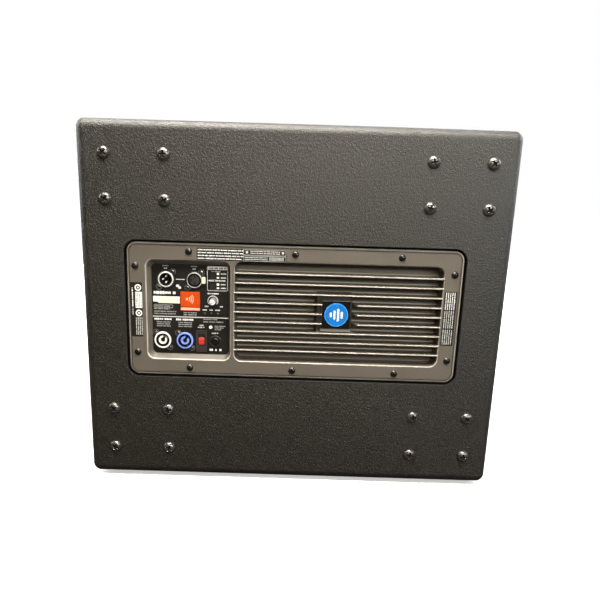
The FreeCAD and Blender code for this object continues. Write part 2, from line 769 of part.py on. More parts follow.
def pole_socket():
    """Plate with a 35 mm pole tube and an M20 thread under it."""
    side = POLE_PLATE - 2 * PLATE_GAP
    start = vec(-side / 2, -side / 2, TOP_Z - POLE_PLATE_THICKNESS)
    plate = Part.makeBox(side, side, POLE_PLATE_THICKNESS, start)
    upright = [edge for edge in plate.Edges if edge.BoundBox.ZLength > POLE_PLATE_THICKNESS / 2]
    plate = plate.makeFillet(POLE_PLATE_CORNER, upright)
    bottom = TOP_Z - POLE_SOCKET_DEPTH
    body = plate.fuse(Part.makeCylinder(POLE_TUBE_RADIUS, POLE_SOCKET_DEPTH, vec(0, 0, bottom)))
    bore_end = vec(0, 0, TOP_Z - POLE_BORE_DEPTH)
    body = body.cut(Part.makeCylinder(POLE_BORE_RADIUS, POLE_BORE_DEPTH + 1, bore_end))
    body = body.cut(Part.makeCylinder(POLE_THREAD_RADIUS, POLE_SOCKET_DEPTH, vec(0, 0, bottom - 1)))
    for seat in pole_seats():
        body = body.cut(hole(seat, (0, 0, -1), M5_RADIUS, WOOD_SCREW_LENGTH))
        body = body.cut(Part.makeCylinder(HEAD_RECESS_RADIUS, HEAD_RECESS, seat, vec(0, 0, 1)))
    save("pole_socket", body.removeSplitter())


# Grille

def grille():
    width = INNER_WIDTH - 2 * GRILLE_GAP
    height = INNER_HEIGHT - 2 * GRILLE_GAP
    sheet_y = FRONT_Y + GRILLE_SETBACK
    sheet = Part.makeBox(width, GRILLE_SHEET, height, vec(-width / 2, sheet_y, MID_Z - height / 2))
    save("front_grille", drill(sheet, grille_seats(), (0, -1, 0)))
    foam_y = sheet_y + GRILLE_SHEET
    foam_width = INNER_WIDTH - 2 * BATTEN_WIDTH - 2
    foam_start = vec(-foam_width / 2, foam_y, MID_Z - height / 2)
    save("grille_foam", Part.makeBox(foam_width, FOAM_THICKNESS, height, foam_start))
    battens = []
    for side in (-1, 1):
        low = INNER_WIDTH / 2 - BATTEN_WIDTH if side > 0 else -INNER_WIDTH / 2
        start = vec(low, foam_y, FOOT_HEIGHT + PANEL)
        batten = Part.makeBox(BATTEN_WIDTH, BAFFLE_Y - foam_y, INNER_HEIGHT, start)
        battens.append(drill(batten, [seat for seat in grille_seats() if seat.x * side > 0], (0, -1, 0)))
    save("grille_battens", *battens)


def port_tubes():
    ports = []
    for x in (-PORT_X, PORT_X):
        for z in (-PORT_Z, PORT_Z):
            flange = disc(PORT_FLANGE_RADIUS, -PORT_FLANGE, 0, x, z)
            pipe = disc(PORT_RADIUS, -PORT_FLANGE, PORT_LENGTH, x, z)
            bore = disc(PORT_RADIUS - PORT_WALL, -PORT_FLANGE - 1, PORT_LENGTH + 1, x, z)
            mouth = flange.fuse(pipe).cut(bore)
            ports.append(mouth)
    save("port_tubes", *ports)


# Woofer

def woofer_basket():
    """Cast basket: mounting flange, spoked wall, ledge for the spider and ring for the magnet."""
    basket = spin(BASKET_OUTSIDE + BASKET_INSIDE)
    corner = vec(WINDOW_START, BAFFLE_Y + WINDOW_SETBACK, MID_Z - WINDOW_WIDTH / 2)
    for step in range(BASKET_WINDOWS):
        window = Part.makeBox(WINDOW_REACH, DEPTH / 4, WINDOW_WIDTH, corner)
        window.rotate(vec(0, 0, MID_Z), vec(0, 1, 0), 360 / BASKET_WINDOWS * (step + 0.5))
        basket = basket.cut(window)
    for x, z in woofer_screw_points():
        basket = basket.cut(disc(M6_RADIUS + FREE_HOLE, -BASKET_FLANGE - 1, 5, x, z))
    save("woofer_basket", basket)


def arc_ring(points):
    """Ring from outline pieces: two points make a line, three make an arc."""
    edges = []
    for piece in points:
        place = [vec(radius, BAFFLE_Y + setback, MID_Z) for radius, setback in piece]
        if len(place) == 3:
            edges.append(Part.Arc(*place).toShape())
        else:
            edges.append(Part.makeLine(*place))
    return Part.Face(Part.Wire(edges)).revolve(vec(0, 0, MID_Z), vec(0, 1, 0), 360)


def woofer_surround():
    """Half-roll rubber edge between the flange and the rim of the cone."""
    back = -BASKET_FLANGE
    front = back - SURROUND_THICKNESS
    middle = CONE_RADIUS + SURROUND_GAP + SURROUND_ROLL
    inner_edge = middle - SURROUND_ROLL
    outer_edge = middle + SURROUND_ROLL
    root = inner_edge - SURROUND_LAP
    under = SURROUND_ROLL - SURROUND_THICKNESS
    pieces = [
        ((root, back), (root, front)),
        ((root, front), (inner_edge, front)),
        ((inner_edge, front), (middle, front - SURROUND_ROLL), (outer_edge, front)),
        ((outer_edge, front), (SURROUND_OUTER, front)),
        ((SURROUND_OUTER, front), (SURROUND_OUTER, back)),
        ((SURROUND_OUTER, back), (middle + under, back)),
        ((middle + under, back), (middle, back - under), (middle - under, back)),
        ((middle - under, back), (root, back)),
    ]
    save("woofer_surround", arc_ring(pieces))


def woofer_moving_parts():
    """Cone, dust cap and voice coil move together."""
    rim = -BASKET_FLANGE
    back = rim + CONE_THICKNESS
    neck_back = CONE_NECK + CONE_THICKNESS
    neck_in = COIL_RADIUS + FREE_HOLE
    neck_out = neck_in + CONE_THICKNESS
    cone = [
        ((CONE_RADIUS, rim), (CONE_RADIUS, back)),
        ((CONE_RADIUS, back), (CONE_BEND, back)),
        ((CONE_BEND, back), CONE_MIDDLE_BACK, (neck_out, neck_back)),
        ((neck_out, neck_back), (neck_in, neck_back)),
        ((neck_in, neck_back), (neck_in, CONE_NECK)),
        ((neck_in, CONE_NECK), CONE_MIDDLE_FRONT, (CONE_BEND, rim)),
        ((CONE_BEND, rim), (CONE_RADIUS, rim)),
    ]
    save("woofer_cone", arc_ring(cone))
    centre = vec(0, BAFFLE_Y + CAP_APEX + CAP_SPHERE, MID_Z)
    dome = Part.makeSphere(CAP_SPHERE, centre).cut(Part.makeSphere(CAP_SPHERE - CAP_THICKNESS, centre))
    save("dust_cap", dome.common(disc(CAP_SPHERE, CAP_APEX - 1, CAP_RIM)))
    inside = COIL_RADIUS - FORMER_THICKNESS
    save("voice_coil", spin([
        (inside, FORMER_FRONT), (COIL_RADIUS, FORMER_FRONT), (COIL_RADIUS, WINDING_FRONT),
        (WINDING_RADIUS, WINDING_FRONT), (WINDING_RADIUS, WINDING_BACK), (inside, WINDING_BACK)]))


def woofer_spider():
    """Corrugated cloth suspension between the coil former and the basket's ledge."""
    inner = COIL_RADIUS + SPIDER_GAP
    width = (SPIDER_OUTER - SPIDER_RIM - inner) / SPIDER_FOLDS
    front = [(inner, SPIDER_SETBACK)]
    for fold in range(SPIDER_FOLDS):
        start = inner + fold * width
        setback = SPIDER_SETBACK - 2 * SPIDER_WAVE if fold % 2 else SPIDER_SETBACK
        front.append((start + width / 2, setback))
        front.append((start + width, SPIDER_SETBACK))
    front.append((SPIDER_OUTER, SPIDER_SETBACK))
    back = [(radius, setback + SPIDER_THICKNESS) for radius, setback in reversed(front)]
    save("woofer_spider", spin(front + back))


def woofer_motor():
    save("woofer_top_plate", spin(TOP_PLATE))
    save("woofer_magnet", spin(MAGNET))
    save("woofer_yoke", spin(YOKE))


def woofer_screws():
    screws = []
    for x, z in woofer_screw_points():
        tip = vec(x, BAFFLE_Y - BASKET_FLANGE - M6_HEAD_HEIGHT, MID_Z + z)
        length = BASKET_FLANGE + PANEL
        head = (M6_HEAD_RADIUS, M6_HEAD_HEIGHT)
        screws.append(screw(tip, (0, -1, 0), *head, M6_RADIUS, length, 0.0, M5_CROSS))
    save("woofer_screws", *screws)


def woofer_terminals():
    """Push terminals on the side of the basket's rear ring."""
    low = MID_Z - TERMINAL_HEIGHT / 2
    block = Part.makeBox(20, 15, TERMINAL_HEIGHT, vec(115, BAFFLE_Y + TERMINAL_SETBACK, low))
    block = block.cut(disc(BASKET_RING_RADIUS + FREE_HOLE, 100, 130))
    lever = Part.makeBox(6, LEVER_REACH, 8, vec(125, BAFFLE_Y + TERMINAL_SETBACK - LEVER_REACH, MID_Z - 12))
    other = lever.translated(vec(0, 0, LEVER_SPACING))
    save("woofer_terminals", block.fuse(lever).fuse(other))


def speaker_cable():
    """Cable from the power board through the brace to the woofer's terminals."""
    start = vec(CABLE_X, REAR_Y - POWER_BOARD_FRONT - BOARD_THICKNESS, CABLE_Z)
    end = vec(TERMINAL_X, BAFFLE_Y + CABLE_END_SETBACK, MID_Z)
    first_bend = vec(CABLE_X, CABLE_FIRST_BEND_Y, CABLE_Z)
    last_bend = vec(TERMINAL_X, CABLE_LAST_BEND_Y, MID_Z)
    points = [start, first_bend, last_bend, end]
    edges = []
    here = start
    for index in range(1, len(points) - 1):
        corner = points[index]
        before = (points[index - 1] - corner).normalize()
        after = (points[index + 1] - corner).normalize()
        turn = math.pi - before.getAngle(after)
        shorter = min((points[index - 1] - corner).Length, (points[index + 1] - corner).Length)
        cut = CABLE_BEND_SHARE * shorter
        radius = cut / math.tan(turn / 2)
        bisector = (before + after).normalize()
        centre = corner + bisector * math.hypot(radius, cut)
        middle = centre - bisector * radius
        edges.append(Part.makeLine(here, corner + before * cut))
        edges.append(Part.Arc(corner + before * cut, middle, corner + after * cut).toShape())
        here = corner + after * cut
    edges.append(Part.makeLine(here, end))
    path = Part.Wire(edges)
    profile = Part.Wire(Part.makeCircle(CABLE_RADIUS, start, points[1] - start))
    save("speaker_cable", path.makePipeShell([profile], True, False))


# Amplifier

def fin_profile(v):
    """Cross-section of one fin: round tip, tapering sides and a flared root, as an outline at one end."""
    u = FIN_POCKET_LEFT - FIN_EMBED
    tip = FIN_TIP_DEPTH
    shoulder = tip + FIN_TIP_HALF
    root = FIN_FLOOR + 1.0
    flare = FIN_FLOOR - FIN_ROOT_FLARE_DEPTH
    top = Part.makeLine(seen(u, v + FIN_ROOT_FLARE, root), seen(u, v + FIN_ROOT_FLARE, FIN_FLOOR))
    top_flare = Part.makeLine(seen(u, v + FIN_ROOT_FLARE, FIN_FLOOR), seen(u, v + FIN_ROOT_HALF, flare))
    upper = Part.makeLine(seen(u, v + FIN_ROOT_HALF, flare), seen(u, v + FIN_TIP_HALF, shoulder))
    arc = Part.Arc(seen(u, v + FIN_TIP_HALF, shoulder), seen(u, v, tip), seen(u, v - FIN_TIP_HALF, shoulder))
    lower = Part.makeLine(seen(u, v - FIN_TIP_HALF, shoulder), seen(u, v - FIN_ROOT_HALF, flare))
    low_flare = Part.makeLine(seen(u, v - FIN_ROOT_HALF, flare), seen(u, v - FIN_ROOT_FLARE, FIN_FLOOR))
    bottom = Part.makeLine(seen(u, v - FIN_ROOT_FLARE, FIN_FLOOR), seen(u, v - FIN_ROOT_FLARE, root))
    base = Part.makeLine(seen(u, v - FIN_ROOT_FLARE, root), seen(u, v + FIN_ROOT_FLARE, root))
    return Part.Face(Part.Wire([top, top_flare, upper, arc.toShape(), lower, low_flare, bottom, base]))


def fins():
    length = FIN_POCKET_RIGHT - FIN_POCKET_LEFT + 2 * FIN_EMBED
    made = []
    for step in range(FIN_COUNT):
        v = AMP_V + (step - (FIN_COUNT - 1) / 2) * FIN_PITCH
        made.append(fin_profile(v).extrude(vec(-length, 0, 0)))
    return made


def badge_boss():
    """Tapered block that carries the badge, standing on a wider foot."""
    base = (BADGE_U, BADGE_V, 2 * BOSS_BASE_HALF, 2 * BOSS_BASE_HALF, 3.0, FIN_FLOOR + 1)
    top = (BADGE_U, BADGE_V, 2 * BOSS_TOP_HALF, 2 * BOSS_TOP_HALF, 1.5, BOSS_TOP)
    foot_u = (BOSS_FOOT_LEFT + BOSS_FOOT_RIGHT) / 2
    foot_v = (BOSS_FOOT_LOW + BOSS_FOOT_HIGH) / 2
    width = BOSS_FOOT_RIGHT - BOSS_FOOT_LEFT
    height = BOSS_FOOT_HIGH - BOSS_FOOT_LOW
    spread = 2 * BOSS_FOOT_SLOPE
    foot = frustum((foot_u, foot_v, width, height, 2.0, BOSS_FOOT_TOP),
                   (foot_u, foot_v, width + spread, height + spread, 4.0, FIN_FLOOR + 1))
    return frustum(top, base).fuse(foot)


def fin_run_down():
    """Tool that slopes the fins down to the foot on the right of the badge."""
    near = BADGE_U + BOSS_TOP_HALF
    corners = [(near - 0.5, 0), (near + FIN_RUN_DOWN, 0), (near + FIN_RUN_DOWN, FIN_TIP_DEPTH),
               (near - 0.5, FIN_RUN_DOWN_DEPTH)]
    low = BADGE_V - BOSS_TOP_HALF
    points = [seen(u, low, depth) for u, depth in corners]
    outline = Part.makePolygon(points + points[:1])
    return Part.Face(outline).extrude(vec(0, 0, 2 * BOSS_TOP_HALF))


def control_pocket():
    middle = (CONTROL_LEFT + CONTROL_RIGHT) / 2
    width = CONTROL_RIGHT - CONTROL_LEFT
    height = 2 * CONTROL_HALF_HEIGHT
    floor_middle = (CONTROL_FLOOR_LEFT + CONTROL_FLOOR_RIGHT) / 2
    floor_width = CONTROL_FLOOR_RIGHT - CONTROL_FLOOR_LEFT
    floor_height = 2 * CONTROL_FLOOR_HALF_HEIGHT
    rim = (middle, AMP_V, width, height, POCKET_CORNER, FLANGE_TOP)
    floor = (floor_middle, AMP_V, floor_width, floor_height, CONTROL_FLOOR_CORNER, CONTROL_FLOOR)
    mouth = slab(middle, AMP_V, width, height, FLANGE_TOP - 3, FLANGE_TOP, POCKET_CORNER)
    return frustum(rim, floor).fuse(mouth)


def fin_pocket():
    middle = (FIN_POCKET_LEFT + FIN_POCKET_RIGHT) / 2
    width = FIN_POCKET_RIGHT - FIN_POCKET_LEFT
    height = 2 * CONTROL_HALF_HEIGHT
    rim = (middle, AMP_V, width, height, POCKET_CORNER, FLANGE_TOP)
    shrink = 2 * FIN_DRAFT
    floor = (middle, AMP_V, width - shrink, height - shrink, POCKET_CORNER - FIN_DRAFT, FIN_FLOOR)
    mouth = slab(middle, AMP_V, width, height, FLANGE_TOP - 3, FLANGE_TOP, POCKET_CORNER)
    return frustum(rim, floor).fuse(mouth)


def flange_plate():
    """Flange with a bevelled edge and a fine line round its rim."""
    plate = slab(0, AMP_V, FLANGE_WIDTH, FLANGE_HEIGHT, FLANGE_TOP, FLANGE_BACK, FLANGE_CORNER)
    front_edges = edges_at_depth(plate, FLANGE_TOP, FLANGE_WIDTH, FLANGE_HEIGHT)
    plate = plate.makeChamfer(FLANGE_BEVEL, front_edges)
    shrink = 2 * RIM_LINE_INSET
    line_back = FLANGE_TOP + RIM_LINE_DEPTH
    corner = FLANGE_CORNER - RIM_LINE_INSET
    outer = slab(0, AMP_V, FLANGE_WIDTH - shrink, FLANGE_HEIGHT - shrink, 0, line_back, corner)
    shrink += 2 * RIM_LINE_WIDTH
    corner -= RIM_LINE_WIDTH
    inner = slab(0, AMP_V, FLANGE_WIDTH - shrink, FLANGE_HEIGHT - shrink, 0, line_back, corner)
    return plate.cut(outer.cut(inner))


def control_holes():
    """Everything that passes through the floor of the control pocket."""
    front = OVERLAY_TOP - 1
    back = CONTROL_BACK + 1
    tools = []
    for centre in (XLR_OUT, XLR_IN):
        tools.append(rod(centre[0], centre[1], XLR_TUBE_RADIUS + SLIDE_GAP, front, back))
    for centre in (MAINS_OUT, MAINS_IN):
        tools.append(rod(centre[0], centre[1], MAINS_TUBE_RADIUS + SLIDE_GAP, front, back))
    for u, v in connector_screw_points():
        tools.append(rod(u, v, CONNECTOR_SCREW_RADIUS + FREE_HOLE, front, back))
    for v in SWITCH_V:
        width = SWITCH_WIDTH + 2 * SLIDE_GAP
        height = SWITCH_HEIGHT + 2 * SLIDE_GAP
        tools.append(slab(SWITCH_U, v, width, height, front, back))
    tools.append(rod(KNOB_U, KNOB_V, SHAFT_RADIUS + 1.5, front, back))
    for u in LED_U:
        tools.append(rod(u, LED_V, LED_RADIUS + FREE_HOLE, front, back))
    tools.append(latch_guide(front, back))
    body_width = SELECTOR_BODY_WIDTH + 2 * FREE_HOLE
    body_height = SELECTOR_BODY_HEIGHT + 2 * FREE_HOLE
    tools.append(slab(SELECTOR_U, SELECTOR_V, body_width, body_height, front, back))
    tools.append(rod(BREAKER_U, BREAKER_V, BREAKER_RING_RADIUS - 1 + FREE_HOLE, front, back))
    return tools


def connector_screw_points():
    points = ear_screw_points(XLR_OUT, False) + ear_screw_points(XLR_IN, False)
    return points + ear_screw_points(MAINS_OUT, True) + ear_screw_points(MAINS_IN, True)


def amp_chassis():
    body_middle = (BODY_LEFT + BODY_RIGHT) / 2
    web = (CONTROL_RIGHT + FIN_POCKET_LEFT) / 2
    chassis = flange_plate()
    tray = slab(body_middle, AMP_V, BODY_WIDTH, BODY_HEIGHT, FLANGE_BACK, CONTROL_BACK, CUTOUT_CORNER)
    chassis = chassis.fuse(tray)
    sink_width = BODY_RIGHT - web + SINK_OVERLAP
    sink_middle = BODY_RIGHT - sink_width / 2
    sink = slab(sink_middle, AMP_V, sink_width, BODY_HEIGHT, FLANGE_BACK, HEATSINK_BACK, CUTOUT_CORNER)
    chassis = chassis.fuse(sink)
    chassis = chassis.cut(control_pocket())
    chassis = chassis.cut(fin_pocket())
    lips = edges_at_depth(chassis, FLANGE_TOP, BODY_WIDTH / 2, BODY_HEIGHT / 2)
    chassis = chassis.makeFillet(POCKET_LIP, lips)
    boss = badge_boss()
    keep_clear = frustum(
        (BADGE_U, BADGE_V, 2 * BOSS_TOP_HALF - 1, 2 * BOSS_TOP_HALF - 1, 1.5, 0),
        (BADGE_U, BADGE_V, 2 * BOSS_TOP_HALF - 1, 2 * BOSS_TOP_HALF - 1, 1.5, BOSS_TOP + 2))
    blades = [blade.cut(keep_clear).cut(fin_run_down()) for blade in fins()]
    chassis = chassis.multiFuse(blades + [boss])
    recess_back = BOSS_TOP + BADGE_RECESS
    side = BADGE_SIDE + 2 * FREE_HOLE
    chassis = chassis.cut(slab(BADGE_U, BADGE_V, side, side, 0, recess_back, 1.2))
    for tool in control_holes():
        chassis = chassis.cut(tool)
    for u, v in amp_screw_points():
        chassis = chassis.cut(rod(u, v, M5_RADIUS + 0.2, 0, FLANGE_BACK + 1))
    for side_u in (-1, 1):
        for side_v in (-1, 1):
            u = POWER_BOARD_U + side_u * STANDOFF_U
            v = AMP_V + side_v * STANDOFF_V
            chassis = chassis.fuse(rod(u, v, STANDOFF_RADIUS, HEATSINK_BACK - 1, POWER_BOARD_FRONT))
    save("amp_chassis", chassis.removeSplitter())


def amp_gasket():
    outer = slab(0, AMP_V, FLANGE_WIDTH - 2, FLANGE_HEIGHT - 2, FLANGE_BACK, REBATE_DEPTH, FLANGE_CORNER)
    gasket = outer.cut(slab(0, AMP_V, CUTOUT_WIDTH, CUTOUT_HEIGHT, 0, REBATE_DEPTH + 1, CUTOUT_CORNER))
    for u, v in amp_screw_points():
        gasket = gasket.cut(rod(u, v, M5_RADIUS + 0.2, 0, REBATE_DEPTH + 1))
    save("amp_gasket", gasket)


def amp_screws():
    screws = []
    for u, v in amp_screw_points():
        tip = seen(u, v, FLANGE_TOP - AMP_HEAD_HEIGHT)
        head = (M5_HEAD_RADIUS, AMP_HEAD_HEIGHT)
        screws.append(screw(tip, (0, 1, 0), *head, M5_RADIUS, AMP_SCREW_LENGTH, AMP_HEAD_DOME, M5_CROSS))
    save("amp_screws", *screws)


def badges():
    plate_front = BOSS_TOP + BADGE_RECESS - BADGE_THICKNESS
    plate = slab(BADGE_U, BADGE_V, BADGE_SIDE, BADGE_SIDE, plate_front, BOSS_TOP + BADGE_RECESS, BADGE_CORNER)
    front = edges_at_depth(plate, plate_front, WIDTH, HEIGHT)
    save("badge_plate", plate.makeFillet(BADGE_EDGE, front))
    save("badge_disc", rod(BADGE_U, BADGE_V, DISC_RADIUS, plate_front - DISC_THICKNESS, plate_front))
    front = OVERLAY_TOP - NAME_BADGE_THICKNESS
    size = (NAME_BADGE_WIDTH, NAME_BADGE_HEIGHT)
    name_plate = slab(NAME_BADGE_U, NAME_BADGE_V, *size, front, OVERLAY_TOP, BADGE_CORNER)
    save("name_badge", name_plate.makeFillet(BADGE_EDGE, edges_at_depth(name_plate, front, WIDTH, HEIGHT)))


def control_overlay():
    middle = (CONTROL_FLOOR_LEFT + CONTROL_FLOOR_RIGHT) / 2
    width = CONTROL_FLOOR_RIGHT - CONTROL_FLOOR_LEFT - 2 * OVERLAY_GAP
    height = 2 * (CONTROL_FLOOR_HALF_HEIGHT - OVERLAY_GAP)
    overlay = slab(middle, AMP_V, width, height, OVERLAY_TOP, CONTROL_FLOOR, CONTROL_FLOOR_CORNER)
    for tool in control_holes():
        overlay = overlay.cut(tool)
    save("control_overlay", overlay)


def latch_guide(front, back):
    """Free space that the latch tab slides in."""
    return slab(LATCH_U, LATCH_V, LATCH_WIDTH + 2 * SLIDE_GAP, LATCH_HEIGHT + 2 * SLIDE_GAP, front, back)


def pad(u, v, radius, front):
    """Round pad on the overlay with its front edge rounded."""
    shape = rod(u, v, radius, front, OVERLAY_TOP)
    return shape.makeFillet(EAR_EDGE, edges_at_depth(shape, front, WIDTH, HEIGHT))


def ear_flange(centre, mirrored, bore):
    """Black mounting flange of a connector: a disc with two ears whose screws sit in a recess."""
    front = OVERLAY_TOP - EAR_THICKNESS
    back = OVERLAY_TOP + 1
    shape = pad(centre[0], centre[1], EAR_FLANGE_RADIUS, front)
    for u, v in ear_screw_points(centre, mirrored):
        shape = shape.fuse(pad(u, v, EAR_RADIUS, front))
    for u, v in ear_screw_points(centre, mirrored):
        shape = shape.cut(rod(u, v, EAR_RECESS_RADIUS, 0, front + EAR_RECESS))
        shape = shape.cut(rod(u, v, CONNECTOR_SCREW_RADIUS + FREE_HOLE, 0, back))
    shape = shape.cut(rod(centre[0], centre[1], bore + FREE_HOLE, 0, back))
    return shape.cut(latch_guide(0, back))


def connector_flanges():
    save(
        "connector_flanges",
        ear_flange(XLR_OUT, False, XLR_RING_RADIUS),
        ear_flange(XLR_IN, False, XLR_RING_RADIUS),
        ear_flange(MAINS_OUT, True, MAINS_RADIUS),
        ear_flange(MAINS_IN, True, MAINS_RADIUS),
    )
    screws = []
    seat_depth = OVERLAY_TOP - EAR_THICKNESS + EAR_RECESS
    for u, v in connector_screw_points():
        tip = seen(u, v, seat_depth - CONNECTOR_HEAD_HEIGHT)
        head = (CONNECTOR_HEAD_RADIUS, CONNECTOR_HEAD_HEIGHT)
        shank = (CONNECTOR_SCREW_RADIUS, CONNECTOR_SCREW_LENGTH)
        screws.append(screw(tip, (0, 1, 0), *head, *shank, CONNECTOR_DOME, CONNECTOR_CROSS))
    save("connector_screws", *screws)


def pin_points(centre):
    u, v = centre
    return [(u, v + XLR_PIN_CIRCLE), (u - XLR_PIN_CIRCLE, v), (u, v - XLR_PIN_CIRCLE)]


def xlr_output():
    u, v = XLR_OUT
    shell = rod(u, v, XLR_RING_RADIUS, XLR_FRONT, OVERLAY_TOP)
    shell = shell.fuse(rod(u, v, XLR_TUBE_RADIUS, OVERLAY_TOP, BOARD_FRONT))
    shell = shell.cut(rod(u, v, XLR_CUP_RADIUS, XLR_FRONT - 1, XLR_CUP_FLOOR))
    for pin_u, pin_v in pin_points(XLR_OUT):
        shell = shell.cut(rod(pin_u, pin_v, XLR_PIN_RADIUS + 0.02, XLR_CUP_FLOOR - 1, BOARD_FRONT + 1))
    lip = edges_at_depth(shell, XLR_FRONT, WIDTH, HEIGHT)
    save("xlr_output_shell", shell.makeFillet(XLR_LIP, lip))
    pins = []
    for pin_u, pin_v in pin_points(XLR_OUT):
        pin = rod(pin_u, pin_v, XLR_PIN_RADIUS, XLR_PIN_TIP, BOARD_FRONT)
        pins.append(pin.makeFillet(XLR_PIN_ROUND, edges_at_depth(pin, XLR_PIN_TIP, WIDTH, HEIGHT)))
    save("xlr_output_pins", *pins)


def xlr_input():
    u, v = XLR_IN
    front = XLR_FRONT + 0.3
    shell = rod(u, v, XLR_RING_RADIUS - 0.2, front, OVERLAY_TOP)
    shell = shell.fuse(rod(u, v, XLR_TUBE_RADIUS, OVERLAY_TOP, BOARD_FRONT))
    shell = shell.cut(rod(u, v, XLR_IN_INNER_RADIUS, XLR_FRONT - 1, BOARD_FRONT + 1))
    shell = shell.makeFillet(XLR_IN_LIP, edges_at_depth(shell, front, WIDTH, HEIGHT))
    save("xlr_input_shell", shell.cut(latch_guide(0, BOARD_FRONT - 2)))
    insert = rod(u, v, XLR_INSERT_RADIUS, XLR_INSERT_FRONT, BOARD_FRONT)
    insert = insert.fuse(rod(u, v, XLR_IN_INNER_RADIUS - 0.05, XLR_CUP_FLOOR, BOARD_FRONT))
    for pin_u, pin_v in pin_points(XLR_IN):
        insert = insert.cut(rod(pin_u, pin_v, XLR_SOCKET_RADIUS, 0, XLR_INSERT_FRONT + XLR_SOCKET_DEPTH))
    save("xlr_input_insert", insert)
    latch = slab(LATCH_U, LATCH_V, LATCH_WIDTH, LATCH_HEIGHT, LATCH_FRONT, LATCH_BACK, LATCH_CORNER)
    save("xlr_latch_tab", latch.makeFillet(LATCH_EDGE, edges_at_depth(latch, LATCH_FRONT, WIDTH, HEIGHT)))


def mains_socket(name, centre):
    """Locking mains socket: an outer collar and a slotted core on one moulded base."""
    u, v = centre
    body = rod(u, v, MAINS_RADIUS, MAINS_FRONT, OVERLAY_TOP)
    body = body.fuse(rod(u, v, MAINS_TUBE_RADIUS, OVERLAY_TOP, MAINS_BACK))
    body = body.cut(rod(u, v, MAINS_INNER_RADIUS, MAINS_FRONT - 1, MAINS_FLOOR))
    body = body.makeFillet(MAINS_LIP, edges_at_depth(body, MAINS_FRONT, WIDTH, HEIGHT))
    core = tube(u, v, MAINS_CORE_RADIUS, MAINS_CORE_BORE, MAINS_CORE_FRONT, MAINS_FLOOR)
    slot = slab(u + MAINS_CORE_RADIUS / 2, v, MAINS_CORE_RADIUS, MAINS_SLOT_WIDTH, 0, MAINS_FLOOR - 4)
    slot.rotate(seen(u, v), vec(0, 1, 0), MAINS_SLOT_ANGLE)
    save(name, body.fuse(core.cut(slot)).removeSplitter())


def selector_switches():
    bodies = []
    names = ("upper_selector_button", "lower_selector_button")
    for name, v in zip(names, SWITCH_V):
        body = slab(SWITCH_U, v, SWITCH_BODY_WIDTH, SWITCH_BODY_HEIGHT, CONTROL_BACK, BOARD_FRONT)
        pocket_width = SWITCH_WIDTH + 2 * SLIDE_GAP
        pocket_height = SWITCH_HEIGHT + 2 * SLIDE_GAP
        pocket_back = SWITCH_BUTTON_BACK + SWITCH_TRAVEL + 0.5
        bodies.append(body.cut(slab(SWITCH_U, v, pocket_width, pocket_height, 0, pocket_back)))
        button = slab(SWITCH_U, v, SWITCH_WIDTH, SWITCH_HEIGHT, SWITCH_FRONT, SWITCH_BUTTON_BACK, 0.8)
        save(name, button.makeFillet(0.5, edges_at_depth(button, SWITCH_FRONT, WIDTH, HEIGHT)))
    save("selector_switch_bodies", *bodies)


def level_control():
    pot = rod(KNOB_U, KNOB_V, POT_RADIUS, CONTROL_BACK, BOARD_FRONT)
    shaft = rod(KNOB_U, KNOB_V, SHAFT_RADIUS, SHAFT_FRONT, CONTROL_BACK)
    save("level_potentiometer", pot.fuse(shaft))
    knob = rod(KNOB_U, KNOB_V, KNOB_RADIUS, KNOB_FRONT, KNOB_BACK)
    knob = knob.makeFillet(0.6, edges_at_depth(knob, KNOB_FRONT, WIDTH, HEIGHT))
    bore = rod(KNOB_U, KNOB_V, SHAFT_RADIUS + SHAFT_CLEARANCE, KNOB_BORE_END, KNOB_BACK + 1)
    save("level_knob", knob.cut(bore))


def status_leds():
    lamps = []
    for u in LED_U:
        lamp = rod(u, LED_V, LED_RADIUS, LED_FRONT, BOARD_FRONT)
        lamps.append(lamp.makeFillet(1.0, edges_at_depth(lamp, LED_FRONT, WIDTH, HEIGHT)))
    save("status_leds", *lamps)


def voltage_selector():
    face = (SELECTOR_WIDTH, SELECTOR_HEIGHT)
    inside = (SELECTOR_BODY_WIDTH, SELECTOR_BODY_HEIGHT)
    body = slab(SELECTOR_U, SELECTOR_V, *face, SELECTOR_FRONT, OVERLAY_TOP, 0.8)
    body = body.fuse(slab(SELECTOR_U, SELECTOR_V, *inside, OVERLAY_TOP, SELECTOR_BACK))
    window_height = SLIDER_HEIGHT + SLIDER_TRAVEL + 2 * SLIDE_GAP
    window_v = SLIDER_V + SLIDER_TRAVEL / 2
    window_width = SLIDER_WIDTH + 2 * SLIDE_GAP
    body = body.cut(slab(SELECTOR_U, window_v, window_width, window_height, 0, SLIDER_BACK))
    save("voltage_selector_body", body.removeSplitter())
    slider = slab(SELECTOR_U, SLIDER_V, SLIDER_WIDTH, SLIDER_HEIGHT, SLIDER_FRONT, SLIDER_BACK)
    notch = slab(SELECTOR_U, SLIDER_V, *SLIDER_NOTCH, SLIDER_FRONT - 1, SLIDER_FRONT + SLIDER_NOTCH_DEPTH)
    save("voltage_selector_slider", slider.cut(notch))


